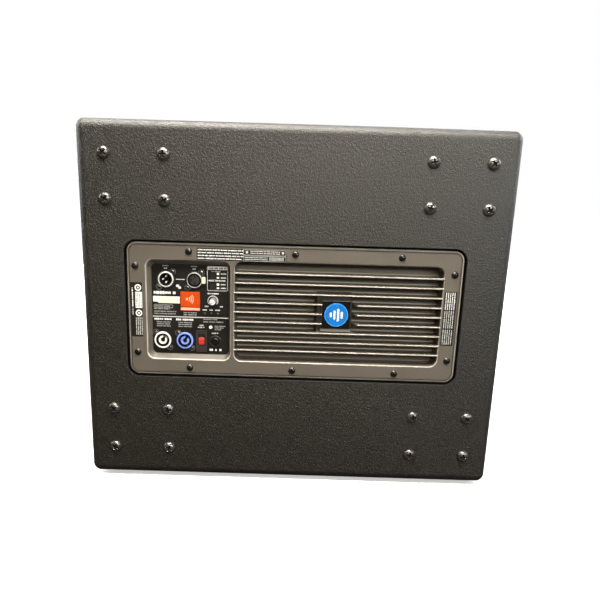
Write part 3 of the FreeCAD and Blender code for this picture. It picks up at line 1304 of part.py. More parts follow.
def breaker():
    front = BREAKER_RING_FRONT
    ring = tube(BREAKER_U, BREAKER_V, BREAKER_RING_RADIUS, BREAKER_BORE_RADIUS, front, OVERLAY_TOP)
    ring = ring.makeFillet(BREAKER_EDGE, edges_at_depth(ring, front, WIDTH, HEIGHT))
    neck = rod(BREAKER_U, BREAKER_V, BREAKER_RING_RADIUS - 1, OVERLAY_TOP, BREAKER_BACK)
    neck = neck.cut(rod(BREAKER_U, BREAKER_V, BREAKER_BORE_RADIUS, 0, BREAKER_BUTTON_BACK + 1))
    save("breaker_body", ring.fuse(neck))
    front = BREAKER_BUTTON_FRONT
    button = rod(BREAKER_U, BREAKER_V, BREAKER_BUTTON_RADIUS, front, BREAKER_BUTTON_BACK)
    save("breaker_button", button.makeFillet(BREAKER_DOME, edges_at_depth(button, front, WIDTH, HEIGHT)))


def electronics():
    """Input board, and the power board with its transistors, capacitors and ring transformer."""
    board_back = BOARD_FRONT + BOARD_THICKNESS
    save("input_board", slab(*INPUT_BOARD_MIDDLE, *INPUT_BOARD_SIZE, BOARD_FRONT, board_back, BOARD_CORNER))
    back = POWER_BOARD_FRONT + BOARD_THICKNESS
    size = (POWER_BOARD_WIDTH, POWER_BOARD_HEIGHT)
    parts = [slab(POWER_BOARD_U, AMP_V, *size, POWER_BOARD_FRONT, back, BOARD_CORNER)]
    for side_v in (-1, 1):
        v = AMP_V + side_v * TRANSISTOR_V
        for step in range(TRANSISTORS_PER_ROW):
            u = POWER_BOARD_U + (step - (TRANSISTORS_PER_ROW - 1) / 2) * PART_PITCH
            parts.append(slab(u, v, *TRANSISTOR_SIZE, HEATSINK_BACK, POWER_BOARD_FRONT))
    for u in (-PART_PITCH, 0, PART_PITCH):
        for side_v in (-1, 1):
            v = AMP_V + side_v * CAPACITOR_V
            parts.append(rod(u, v, CAPACITOR_RADIUS, back, back + CAPACITOR_LENGTH))
    save("power_board", *parts)
    core = tube(TRANSFORMER_U, AMP_V, TRANSFORMER_RADIUS, TRANSFORMER_HOLE, back, back + TRANSFORMER_HEIGHT)
    save("power_transformer", core)


def build():
    os.makedirs("parts", exist_ok=True)
    outside = rounded_box()
    rear_panel(outside)
    top_panel(outside)
    bottom_panel(outside)
    side_panel(outside, "left_side_panel", -1)
    side_panel(outside, "right_side_panel", 1)
    front_baffle()
    window_brace()
    amp_chamber()
    caster_screws()
    rubber_feet()
    fitting_screws()
    handle_cup("left_handle_cup", -1)
    handle_cup("right_handle_cup", 1)
    pole_socket()
    grille()
    port_tubes()
    woofer_basket()
    woofer_surround()
    woofer_moving_parts()
    woofer_spider()
    woofer_motor()
    woofer_screws()
    woofer_terminals()
    speaker_cable()
    amp_chassis()
    amp_gasket()
    amp_screws()
    badges()
    control_overlay()
    connector_flanges()
    xlr_output()
    xlr_input()
    mains_socket("mains_output_socket", MAINS_OUT)
    mains_socket("mains_input_socket", MAINS_IN)
    selector_switches()
    level_control()
    status_leds()
    voltage_selector()
    breaker()
    electronics()


build()
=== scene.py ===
import itertools
import json
import math
import random

import bmesh
import bpy
from mathutils import Matrix, Vector


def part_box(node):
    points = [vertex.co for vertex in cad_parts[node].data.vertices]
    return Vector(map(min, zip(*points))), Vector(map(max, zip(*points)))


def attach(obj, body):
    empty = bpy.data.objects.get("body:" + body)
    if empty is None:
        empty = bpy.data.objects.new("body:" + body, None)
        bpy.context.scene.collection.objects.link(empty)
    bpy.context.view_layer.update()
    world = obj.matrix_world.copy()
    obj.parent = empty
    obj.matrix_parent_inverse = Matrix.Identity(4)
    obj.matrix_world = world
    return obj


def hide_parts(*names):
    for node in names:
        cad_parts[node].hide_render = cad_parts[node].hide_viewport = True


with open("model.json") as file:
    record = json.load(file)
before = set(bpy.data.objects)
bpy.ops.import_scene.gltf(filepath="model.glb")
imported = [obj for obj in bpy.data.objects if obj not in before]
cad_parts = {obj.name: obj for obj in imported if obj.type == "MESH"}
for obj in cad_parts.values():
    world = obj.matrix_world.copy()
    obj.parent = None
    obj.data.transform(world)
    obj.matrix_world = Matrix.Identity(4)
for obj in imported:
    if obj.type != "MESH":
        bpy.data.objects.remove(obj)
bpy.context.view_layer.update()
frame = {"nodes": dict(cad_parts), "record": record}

# Looks of the powered bass cabinet. Most CAD nodes keep their shape and get their finish here. Modelled here are the
# printing, labels and signs, the perforated grille, the fluted knob, the caster screws, the red slider, the liners in
# the connectors with black discs as painted shade in their holes, bright rings as painted highlights round their ears,
# and a black sheet as painted shade round the wall of the amplifier's rebate.
#
# On the rear, places are given as someone standing behind the cabinet sees it, in millimetres: u to their right
# (which is -X), v up, and depth into the cabinet from its rear face.

MM = 0.001
rear_low, rear_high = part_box("rear_panel")
REAR_Y = rear_high.y
MID_Z = (rear_low.z + rear_high.z) / 2


def seen(u, v, depth):
    """A place on the rear, in the frame's own metres."""
    return Vector((-u * MM, REAR_Y - depth * MM, MID_Z + v * MM))


def depth_of(y):
    """Depth behind the rear face, in millimetres, of a place along Y in metres."""
    return (REAR_Y - y) / MM


def measure(node):
    """A node's box as seen on the rear: u and v of its middle, width, height, and depth of its front and back."""
    low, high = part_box(node)
    return (-(low.x + high.x) / 2 / MM, ((low.z + high.z) / 2 - MID_Z) / MM, (high.x - low.x) / MM,
            (high.z - low.z) / MM, depth_of(high.y), depth_of(low.y))


def middle(node):
    return measure(node)[:2]


# millimetres, except for the knob's angle in degrees
OVERLAY_U, OVERLAY_V, OVERLAY_WIDTH, _, OVERLAY_DEPTH, _ = measure("control_overlay")
FLANGE_DEPTH = 3.0
FLANGE_CORNER = 13.5
REBATE_WIDTH = 476.0
REBATE_HEIGHT = 195.5
REBATE_CORNER = 17.0
POCKET_HEIGHT = 144.4
POCKET_CORNER = 11.0
CONTROL_POCKET_U = -149.65
CONTROL_POCKET_WIDTH = 119.7
FIN_ROOT_DEPTH = 28.0
FIN_POCKET_U = 62.35
FIN_POCKET_WIDTH = 294.3
EAR_FRONT = OVERLAY_DEPTH - 1.5
EAR_ACROSS = 9.9
EAR_UP = 10.9
EAR_RIM = 4.25
BADGE_SIDE = 39.6
FLUTE_DEPTH = 0.22
POINTER_AT_REST = 228
INK = 0.08
PAPER = 0.10
LABEL = 0.12
CASTER_HEAD_MARGIN = 8.2
XLR_PIN_CIRCLE = 4.3


# ---- camera, floor and light

CAMERA_SIDE = -4.8 * MM
CAMERA_DISTANCE = 850.8 * MM
CAMERA_RISE = 166.3 * MM
CAMERA_PITCH = math.radians(14.5)
CAMERA_ROLL = math.radians(1.76)
CAMERA_LENS = 36.64
CAMERA_SHIFT_X = 0.0181
CAMERA_SHIFT_Y = 0.0833


def add_object(name, data):
    made = bpy.data.objects.new(name, data)
    bpy.context.scene.collection.objects.link(made)
    return made


def make_camera():
    data = bpy.data.cameras.new("camera")
    data.lens = CAMERA_LENS
    data.sensor_width = 36.0
    data.shift_x = CAMERA_SHIFT_X
    data.shift_y = CAMERA_SHIFT_Y
    data.clip_start = 0.01
    camera = add_object("camera", data)
    place = Matrix.Translation((-CAMERA_SIDE, REAR_Y + CAMERA_DISTANCE, MID_Z + CAMERA_RISE))
    facing = Matrix.Rotation(math.pi, 4, "Z") @ Matrix.Rotation(math.pi / 2 - CAMERA_PITCH, 4, "X")
    camera.matrix_world = place @ facing @ Matrix.Rotation(CAMERA_ROLL, 4, "Z")
    bpy.context.scene.camera = camera


def connect(tree, socket, value):
    """Give an input a value, or link it to another node's output."""
    if isinstance(value, bpy.types.NodeSocket):
        tree.links.new(value, socket)
    else:
        socket.default_value = value


def add_node(tree, kind, **inputs):
    """A new shader node with some of its inputs set; an underscore stands for a space."""
    node = tree.nodes.new("ShaderNode" + kind)
    for name, value in inputs.items():
        connect(tree, node.inputs[name.replace("_", " ")], value)
    return node


def seen_by_camera(tree, others_see, camera_sees, output):
    """The camera sees one shader, and light from the object sees the other."""
    mix = add_node(tree, "MixShader")
    camera_ray = add_node(tree, "LightPath").outputs["Is Camera Ray"]
    for socket, value in zip(mix.inputs, (camera_ray, others_see.outputs[0], camera_sees.outputs[0])):
        connect(tree, socket, value)
    tree.links.new(mix.outputs[0], output.inputs["Surface"])


WARM = (1.0, 0.96, 0.90)
# name: place, target, width, height, power, colour
LIGHTS = {
    "window_right": ((-1.75, REAR_Y + 2.1, 1.10), (0, REAR_Y, 0.30), 1.2, 0.32, 37, (0.72, 0.89, 1.0)),
    "window_left": ((-0.35, REAR_Y + 2.1, 1.10), (0, REAR_Y, 0.30), 1.5, 0.32, 25, (1.0, 0.85, 0.66)),
    "high_strip": ((0.1, REAR_Y + 0.72, 1.70), (0, REAR_Y, 0.30), 1.8, 0.30, 58, WARM),
    "edge_strip": ((0.15, REAR_Y + 0.16, 1.5), (0, REAR_Y, 0.36), 1.7, 0.16, 36, WARM),
    "soft_front": ((0.9, -2.3, 0.50), (0, -0.35, 0.25), 1.8, 0.8, 90, (1, 1, 1)),
    "soft_front_left": ((-1.5, -1.9, 1.7), (0, -0.35, 0.25), 1.4, 1.4, 60, (1, 1, 1)),
    "soft_side_left": ((-2.3, -0.2, 1.3), (0, 0, 0.25), 1.6, 1.2, 60, (1, 1, 1)),
    "soft_side_right": ((2.3, -0.2, 1.3), (0, 0, 0.25), 1.6, 1.2, 60, (1, 1, 1)),
    "overhead": ((0, -0.25, 2.3), (0, -0.2, 0.5), 1.4, 1.0, 30, (1, 1, 1)),
}


def make_lights():
    """Windows behind the camera, strips above the rear edge, and soft boxes on the other sides."""
    for name, (place, target, width, height, power, colour) in LIGHTS.items():
        data = bpy.data.lights.new(name, "AREA")
        data.shape = "RECTANGLE"
        data.size = width
        data.size_y = height
        data.energy = power
        data.color = colour
        light = add_object(name, data)
        light.location = place
        light.rotation_euler = (Vector(target) - Vector(place)).to_track_quat("-Z", "Y").to_euler()
    shaded = bpy.data.collections.new("kept_out_of_rear_lights")
    for step, node in enumerate(("top_panel", "pole_socket")):
        shaded.objects.link(frame["nodes"][node])
        shaded.collection_objects[step].light_linking.link_state = "EXCLUDE"
    for light in ("window_right", "window_left", "high_strip"):
        bpy.data.objects[light].light_linking.receiver_collection = shaded


def make_world():
    """Pale surroundings: white where the camera sees them, much softer and warm as a light."""
    world = bpy.data.worlds.new("studio")
    bpy.context.scene.world = world
    world.use_nodes = True
    tree = world.node_tree
    tree.nodes.clear()
    towards = add_node(tree, "TexCoord").outputs["Generated"]
    rise = add_node(tree, "SeparateXYZ", Vector=towards).outputs["Z"]
    height = add_node(tree, "MapRange", Value=rise, From_Min=0.1, From_Max=0.7, To_Min=0.012, To_Max=0.10)
    soft = add_node(tree, "Background", Color=(1.0, 0.90, 0.78, 1), Strength=height.outputs["Result"])
    white = add_node(tree, "Background", Color=(1, 1, 1, 1), Strength=1.0)
    seen_by_camera(tree, soft, white, add_node(tree, "OutputWorld"))


def make_floor():
    """Large pale floor. The camera sees it white with a soft shadow; the object sees a dim floor."""
    mesh = bpy.data.meshes.new("floor")
    shape = bmesh.new()
    bmesh.ops.create_grid(shape, x_segments=8, y_segments=8, size=14.0)
    shape.to_mesh(mesh)
    shape.free()
    floor = add_object("floor", mesh)
    paint = bpy.data.materials.new("floor_paint")
    paint.use_nodes = True
    tree = paint.node_tree
    place = add_node(tree, "TexCoord").outputs["Object"]
    noise = add_node(tree, "TexNoise", Vector=place, Scale=3.0)
    ramp = add_node(tree, "ValToRGB", Fac=noise.outputs["Fac"])
    for element, grey in zip(ramp.color_ramp.elements, (0.80, 0.86)):
        element.color = (grey, grey, grey, 1)
    away = add_node(tree, "VectorMath")
    away.operation = "LENGTH"
    tree.links.new(place, away.inputs[0])
    glow = add_node(tree, "MapRange", Value=away.outputs["Value"], From_Min=0.45, From_Max=2.4, To_Min=0.30, To_Max=1.0)
    white = tree.nodes["Principled BSDF"]
    for name, value in (("Base Color", ramp.outputs["Color"]), ("Roughness", 0.9), ("Emission Color", (1, 1, 1, 1)),
                        ("Emission Strength", glow.outputs["Result"])):
        connect(tree, white.inputs[name], value)
    dim = add_node(tree, "BsdfDiffuse", Color=(0.035, 0.031, 0.026, 1))
    seen_by_camera(tree, dim, white, tree.nodes["Material Output"])
    mesh.materials.append(paint)


# ---- materials

class Finish:
    """A material under construction: a Principled shader and the nodes that drive it."""

    def __init__(self, name):
        self.material = bpy.data.materials.new(name)
        self.material.use_nodes = True
        self.tree = self.material.node_tree
        self.shader = self.tree.nodes["Principled BSDF"]
        self.place = self.node("TexCoord").outputs["Object"]
        self.normal = None

    def set(self, **inputs):
        for name, value in inputs.items():
            connect(self.tree, self.shader.inputs[name.replace("_", " ")], value)

    def node(self, kind, **inputs):
        return add_node(self.tree, kind, **inputs)

    def noise(self, scale, detail=4.0, rough=0.55, stretch=(1, 1, 1), shift=0.0):
        mapping = self.node("Mapping", Vector=self.place, Scale=stretch, Location=(shift, shift * 0.7, shift * 1.3))
        texture = self.node("TexNoise", Vector=mapping.outputs["Vector"], Scale=scale, Detail=detail, Roughness=rough)
        return texture.outputs["Fac"]

    def cells(self, scale, feature="F1"):
        texture = self.node("TexVoronoi", Vector=self.place, Scale=scale, Randomness=1.0)
        texture.feature = feature
        return texture.outputs["Distance"]

    def bands(self, scale, direction, distortion):
        texture = self.node("TexWave", Vector=self.place, Scale=scale, Distortion=distortion, Detail=2.0)
        texture.bands_direction = direction
        return texture.outputs["Fac"]

    def span(self, source, low, high, to_low=0.0, to_high=1.0):
        """Map a stretch of values to another, clamped."""
        remap = self.node("MapRange", Value=source, From_Min=low, From_Max=high, To_Min=to_low, To_Max=to_high)
        return remap.outputs["Result"]

    def fade(self, source, low, high):
        """One below the first limit, nothing above the second."""
        return self.span(source, low, high, 1.0, 0.0)

    def cloud(self, *noise, **more):
        """Soft patches: noise spread over the whole range."""
        return self.span(self.noise(*noise, **more), 0.3, 0.7)

    def maths(self, operation, first, second):
        node = self.node("Math")
        node.operation = operation
        for slot, value in enumerate((first, second)):
            connect(self.tree, node.inputs[slot], value)
        return node.outputs[0]

    def times(self, first, second):
        return self.maths("MULTIPLY", first, second)

    def base(self, amount, first, second):
        """Start the colour as a mix of two."""
        node = self.node("Mix", Factor=amount)
        node.data_type = "RGBA"
        for slot, value in (("A", first), ("B", second)):
            socket = [s for s in node.inputs if s.name == slot and s.type == "RGBA"][0]
            connect(self.tree, socket, (*value, 1.0) if isinstance(value, tuple) else value)
        self.tone = [s for s in node.outputs if s.type == "RGBA"][0]
        self.set(Base_Color=self.tone)

    def cover(self, colour, mask, strength=None):
        """Lay one more colour over the base where the mask is one."""
        self.base(mask if strength is None else self.times(mask, strength), self.tone, colour)

    def vector(self, operation, *values):
        node = self.node("VectorMath")
        node.operation = operation
        for slot, value in enumerate(values):
            connect(self.tree, node.inputs[slot], value)
        return node.outputs["Value" if operation == "LENGTH" else "Vector"]

    def depth(self):
        """Depth behind the rear face, in millimetres."""
        parts = self.node("SeparateXYZ", Vector=self.place)
        return self.times(self.maths("SUBTRACT", REAR_Y, parts.outputs["Y"]), 1 / MM)

    def facing_up(self, low, high):
        """One where the surface faces up."""
        parts = self.node("SeparateXYZ", Vector=self.node("NewGeometry").outputs["Normal"])
        return self.span(parts.outputs["Z"], low, high)

    def beyond(self, u, v, width, height, corner):
        """How far a point lies outside a rounded rectangle on the rear, in millimetres; negative inside."""
        place = self.vector("SUBTRACT", self.place, (-u * MM, 0, MID_Z + v * MM))
        place = self.vector("ABSOLUTE", self.vector("MULTIPLY", place, (1 / MM, 0, 1 / MM)))
        place = self.vector("SUBTRACT", place, (width / 2 - corner, 0, height / 2 - corner))
        reach = self.vector("LENGTH", self.vector("MAXIMUM", place, (0, 0, 0)))
        return self.maths("SUBTRACT", reach, corner)

    def near(self, source, low, high, blur=0.25):
        """One where a value lies between two limits, fading out at both."""
        rise = self.span(source, low - blur, low + blur)
        return self.times(rise, self.fade(source, high - blur, high + blur))

    def rough_between(self, low, high, *noise, **more):
        """Roughness that wanders between two values."""
        self.set(Roughness=self.span(self.noise(*noise, **more), 0.3, 0.7, low, high))

    def bump(self, source, distance, strength):
        """Stack a height map; distance is the height of its full range in millimetres."""
        node = self.node("Bump", Height=source, Distance=distance * MM, Strength=strength)
        if self.normal:
            connect(self.tree, node.inputs["Normal"], self.normal)
        self.normal = node.outputs["Normal"]
        self.set(Normal=self.normal)


HAIRLINES = (6.0, 6.0, 0.8)
# light colour both for paint worn thin and for painted highlights on edges and ledges
WORN_EDGE_AND_HIGHLIGHT = (0.44, 0.40, 0.34)
FLANGE_V = middle("amp_chassis")[1]


def shade(colour, factor):
    return tuple(min(1.0, part * factor) for part in colour)


def textured_coat():
    """Hard charcoal coat sprayed over plywood: fine pebbles with painted highlights on their crowns, slight cloudiness,
    dust specks, a few scuffs, and painted shade on the walls of the rebate.
    """
    finish = Finish("textured_coat")
    finish.base(finish.cloud(5.0, 3.0), (0.0042, 0.0034, 0.0024), (0.0074, 0.0062, 0.0046))
    # Painted highlight: the crowns of the pebbles are lightened, patchily.
    crown = finish.fade(finish.cells(560.0), 0.0, 0.55)
    patchy = finish.span(finish.noise(330.0, 3.0, 0.6, shift=1.3), 0.35, 0.65)
    finish.cover((0.021, 0.018, 0.0135), crown, patchy)
    fleck = finish.fade(finish.cells(150.0), 0.05, 0.09)
    sparse = finish.span(finish.noise(26.0, 2.0, shift=3.1), 0.52, 0.60)
    finish.cover((0.34, 0.33, 0.28), finish.times(fleck, sparse), 0.45)
    streak = finish.span(finish.noise(30.0, 5.0, 0.6, (1.0, 1.0, 5.0), 7.7), 0.69, 0.76)
    finish.cover((0.09, 0.085, 0.075), streak, 0.25)
    # Painted shade: the walls and edge of the amplifier's rebate are darkened nearly to black and made rough.
    rebate = finish.beyond(0, FLANGE_V, REBATE_WIDTH, REBATE_HEIGHT, REBATE_CORNER)
    painted_rebate_shade = finish.times(finish.near(rebate, -20.0, 1.1, 0.4), finish.fade(finish.depth(), 12.0, 14.0))
    finish.cover((0.0012, 0.0010, 0.0009), painted_rebate_shade)
    rough = finish.span(finish.noise(170.0, 4.0), 0.3, 0.7, 0.36, 0.54)
    finish.set(Roughness=finish.maths("MAXIMUM", rough, finish.times(painted_rebate_shade, 0.9)))
    finish.bump(finish.noise(280.0, 4.0, 0.65), 0.80, 0.80)
    finish.bump(crown, 0.42, 0.80)
    finish.bump(finish.noise(1900.0, 2.0), 0.06, 0.5)
    finish.set(Specular_IOR_Level=0.68, Specular_Tint=(1.0, 0.98, 0.93, 1.0))
    return finish


def plain_finish(name, colour, rough, metal, grain, grain_height, vary, scratch, rough_vary=0.08, coat=0.0,
                 specular=0.5):
    """Moulded, painted or plated part: cloudy tone, fine grain in the surface and hairline scratches."""
    finish = Finish(name)
    finish.base(finish.cloud(38.0, 4.0), shade(colour, 1 - vary), shade(colour, 1 + vary))
    fine = finish.noise(grain, 3.0)
    if scratch:
        hair = finish.span(finish.noise(210.0, 6.0, 0.65, HAIRLINES, 2.3), 0.66, 0.72)
        finish.cover(shade(colour, 2.6 if max(colour) < 0.3 else 1.25), hair, scratch)
    finish.rough_between(rough - rough_vary, rough + rough_vary, grain * 0.12, 4.0, shift=1.7)
    finish.bump(fine, grain_height, 0.6)
    finish.set(Metallic=metal, Specular_IOR_Level=specular, Coat_Weight=coat)
    return finish


def screw_steel(name, colour, rough, metal):
    """Blackened steel, bright where it is handled, with painted shade down in the cross recesses."""
    finish = Finish(name)
    finish.base(finish.cloud(90.0, 4.0), shade(colour, 0.7), shade(colour, 1.3))
    hair = finish.span(finish.noise(260.0, 6.0, 0.65, HAIRLINES, 2.3), 0.64, 0.72)
    finish.cover(shade(colour, 2.4), hair, 0.5)
    # Painted shade: ambient occlusion darkens the cross recesses nearly to black and makes them rough.
    corners = finish.node("AmbientOcclusion", Distance=2.5 * MM)
    corners.samples = 8
    corners.only_local = True
    painted_recess_shade = finish.fade(corners.outputs["AO"], 0.45, 0.85)
    finish.cover((0.0015, 0.0014, 0.0013), painted_recess_shade)
    even = finish.span(finish.noise(110.0, 4.0, shift=1.7), 0.3, 0.7, rough - 0.06, rough + 0.08)
    finish.set(Roughness=finish.maths("MAXIMUM", even, finish.times(painted_recess_shade, 0.75)))
    finish.bump(finish.noise(900.0, 3.0), 0.02, 0.6)
    finish.set(Metallic=metal, Specular_IOR_Level=0.5)
    return finish


def pin_metal():
    """Contact pins: bright rounded ends, with painted shade further down."""
    finish = Finish("pin_metal")
    tip = measure("xlr_output_pins")[4]
    # Painted shade: the pins darken from about a millimetre behind their ends.
    down = finish.span(finish.depth(), tip + 0.9, tip + 2.0)
    finish.base(finish.cloud(400.0), (0.80, 0.78, 0.72), (0.90, 0.88, 0.83))
    finish.cover((0.045, 0.043, 0.040), down)
    finish.rough_between(0.26, 0.40, 600.0)
    finish.bump(finish.noise(1800.0), 0.01, 0.5)
    finish.set(Metallic=0.4)
    return finish


def cast_paint():
    """Warm grey paint on an aluminium casting: mottling, rub marks, paint worn thin on rims and fin tips, painted
    highlights on those edges, the fin roots and the ledge under the badge, and painted shade in the rim's groove and
    round the badge.
    """
    finish = Finish("cast_paint")
    finish.base(finish.cloud(14.0, 4.0), (0.092, 0.078, 0.061), (0.112, 0.096, 0.077))
    finish.cover((0.134, 0.116, 0.094), finish.span(finish.noise(520.0, 3.0), 0.35, 0.7), 0.30)
    rub = finish.span(finish.noise(60.0, 6.0, 0.7, (1.0, 1.0, 2.2), 4.0), 0.70, 0.78)
    finish.cover((0.30, 0.28, 0.25), rub, 0.35)
    depth = finish.depth()
    width, height = measure("amp_chassis")[2:4]
    rim = finish.beyond(0, FLANGE_V, width, height, FLANGE_CORNER)
    # Painted shade: a dark line in the groove just inside the flange's rim.
    finish.cover((0.030, 0.026, 0.021), finish.near(rim, -4.1, -2.6), 0.75)
    # Worn paint and painted highlight: the flange's outer edge, the pocket rims and the fin tips are lightened.
    worn_and_highlight = finish.near(rim, -1.6, 0.6)
    fins = finish.beyond(FIN_POCKET_U, FLANGE_V, FIN_POCKET_WIDTH, POCKET_HEIGHT, POCKET_CORNER)
    control = finish.beyond(CONTROL_POCKET_U, FLANGE_V, CONTROL_POCKET_WIDTH, POCKET_HEIGHT, POCKET_CORNER)
    for pocket in (fins, control):
        worn_and_highlight = finish.maths("MAXIMUM", worn_and_highlight, finish.near(pocket, -1.0, 0.5))
    worn_and_highlight = finish.times(worn_and_highlight, finish.fade(depth, 4.2, 6.0))
    tips = finish.times(finish.fade(fins, -2.0, -1.2), finish.fade(depth, 3.7, 4.3))
    worn_and_highlight = finish.maths("MAXIMUM", worn_and_highlight, finish.times(tips, 0.66))
    patchy = finish.span(finish.noise(45.0, 4.0, shift=6.0), 0.30, 0.55, 0.45, 0.95)
    finish.cover(WORN_EDGE_AND_HIGHLIGHT, worn_and_highlight, patchy)
    # Painted highlight: the upward-facing fillets at the fins' roots are lightened.
    painted_root_highlight = finish.near(depth, FIN_ROOT_DEPTH - 1.7, FIN_ROOT_DEPTH + 0.1, 0.15)
    finish.cover((0.47, 0.43, 0.36), finish.times(painted_root_highlight, finish.facing_up(0.4, 0.6)), 0.9)
    badge_u, badge_v = middle("badge_plate")
    boss = finish.near(depth, 5.6, 20.0)
    # Painted shadow: the boss round the badge plate is darkened.
    painted_badge_shadow = finish.near(finish.beyond(badge_u, badge_v, BADGE_SIDE, BADGE_SIDE, 1.0), -0.4, 7.5, 0.6)
    finish.cover((0.014, 0.012, 0.010), finish.times(painted_badge_shadow, boss), 0.85)
    # Painted highlight: the ledge of the boss under the badge plate is lightened.
    painted_ledge_highlight = finish.beyond(badge_u, badge_v - BADGE_SIDE / 2 - 3.4, BADGE_SIDE + 4.0, 4.6, 0.8)
    finish.cover(WORN_EDGE_AND_HIGHLIGHT, finish.times(finish.fade(painted_ledge_highlight, -0.3, 0.3), boss), 0.8)
    finish.rough_between(0.30, 0.42, 90.0, 4.0, shift=2.0)
    finish.bump(finish.noise(900.0, 3.0), 0.04, 0.5)
    finish.set(Metallic=0.1, Specular_IOR_Level=0.6)
    return finish


def overlay_film():
    """Dark printed film: a very fine matt texture and fingermarks."""
    finish = Finish("overlay_film")
    finish.base(finish.cloud(20.0, 3.0), (0.0052, 0.0042, 0.0036), (0.0085, 0.0070, 0.0060))
    finish.rough_between(0.36, 0.55, 45.0, 5.0, shift=5.0)
    finish.bump(finish.noise(2600.0, 2.0), 0.02, 0.5)
    finish.set(Specular_IOR_Level=0.28)
    return finish


def plywood():
    """Birch plywood: long grain with dark pores."""
    finish = Finish("birch_plywood")
    grain = finish.noise(26.0, 5.0, 0.6, (1.0, 9.0, 9.0))
    finish.base(finish.span(grain, 0.3, 0.7), (0.42, 0.28, 0.15), (0.66, 0.50, 0.32))
    pores = finish.span(finish.noise(380.0, 3.0, 0.5, (0.3, 4.0, 4.0)), 0.56, 0.68)
    finish.cover((0.22, 0.13, 0.07), pores, 0.5)
    finish.set(Roughness=finish.span(grain, 0.3, 0.7, 0.55, 0.75))
    finish.bump(pores, 0.15, 0.6)
    return finish


def foam():
    finish = Finish("open_foam")
    pores = finish.cells(900.0)
    finish.base(finish.span(pores, 0.1, 0.6), (0.006, 0.006, 0.006), (0.030, 0.030, 0.031))
    finish.set(Roughness=finish.span(pores, 0.0, 0.7, 0.8, 0.95))
    finish.bump(pores, 0.7, 0.9)
    return finish


def cloth(name, dark, light):
    """Woven or felted suspension part."""
    finish = Finish(name)
    weave = finish.maths("MAXIMUM", finish.bands(1400.0, "X", 0.4), finish.bands(1400.0, "Z", 0.4))
    finish.base(weave, dark, light)
    finish.rough_between(0.7, 0.9, 200.0)
    finish.bump(weave, 0.12, 0.7)
    return finish


def winding():
    """Turns of enamelled copper wire round the coil's axis."""
    finish = Finish("enamelled_copper")
    turns = finish.bands(700.0, "Y", 0.2)
    finish.base(turns, (0.20, 0.06, 0.02), (0.62, 0.26, 0.10))
    finish.rough_between(0.28, 0.42, 120.0)
    finish.bump(turns, 0.25, 0.8)
    finish.set(Metallic=0.85)
    return finish


def circuit_board():
    """Green solder mask over tracks, with tinned pads."""
    finish = Finish("solder_mask")
    tracks = finish.span(finish.cells(180.0, "DISTANCE_TO_EDGE"), 0.03, 0.06)
    finish.base(tracks, (0.045, 0.21, 0.07), (0.012, 0.085, 0.030))
    finish.cover((0.60, 0.58, 0.50), finish.fade(finish.cells(150.0), 0.14, 0.17), 0.8)
    finish.rough_between(0.25, 0.40, 80.0)
    finish.bump(tracks, 0.05, 0.5)
    return finish


def ink(name, colour, rough):
    """Screen printing: slightly uneven coverage."""
    finish = Finish(name)
    finish.base(finish.span(finish.noise(900.0, 4.0), 0.25, 0.6), shade(colour, 0.72), colour)
    finish.rough_between(rough - 0.08, rough + 0.1, 300.0)
    finish.bump(finish.noise(2400.0, 2.0), 0.01, 0.5)
    finish.set(Specular_IOR_Level=0.25)
    return finish


def lens():
    """Milky lens of an unlit status light."""
    finish = Finish("led_lens")
    finish.base(finish.cloud(300.0), (0.10, 0.095, 0.075), (0.16, 0.15, 0.12))
    finish.rough_between(0.18, 0.30, 500.0)
    finish.bump(finish.noise(900.0), 0.01, 0.5)
    finish.set(Transmission_Weight=0.35, IOR=1.5)
    return finish


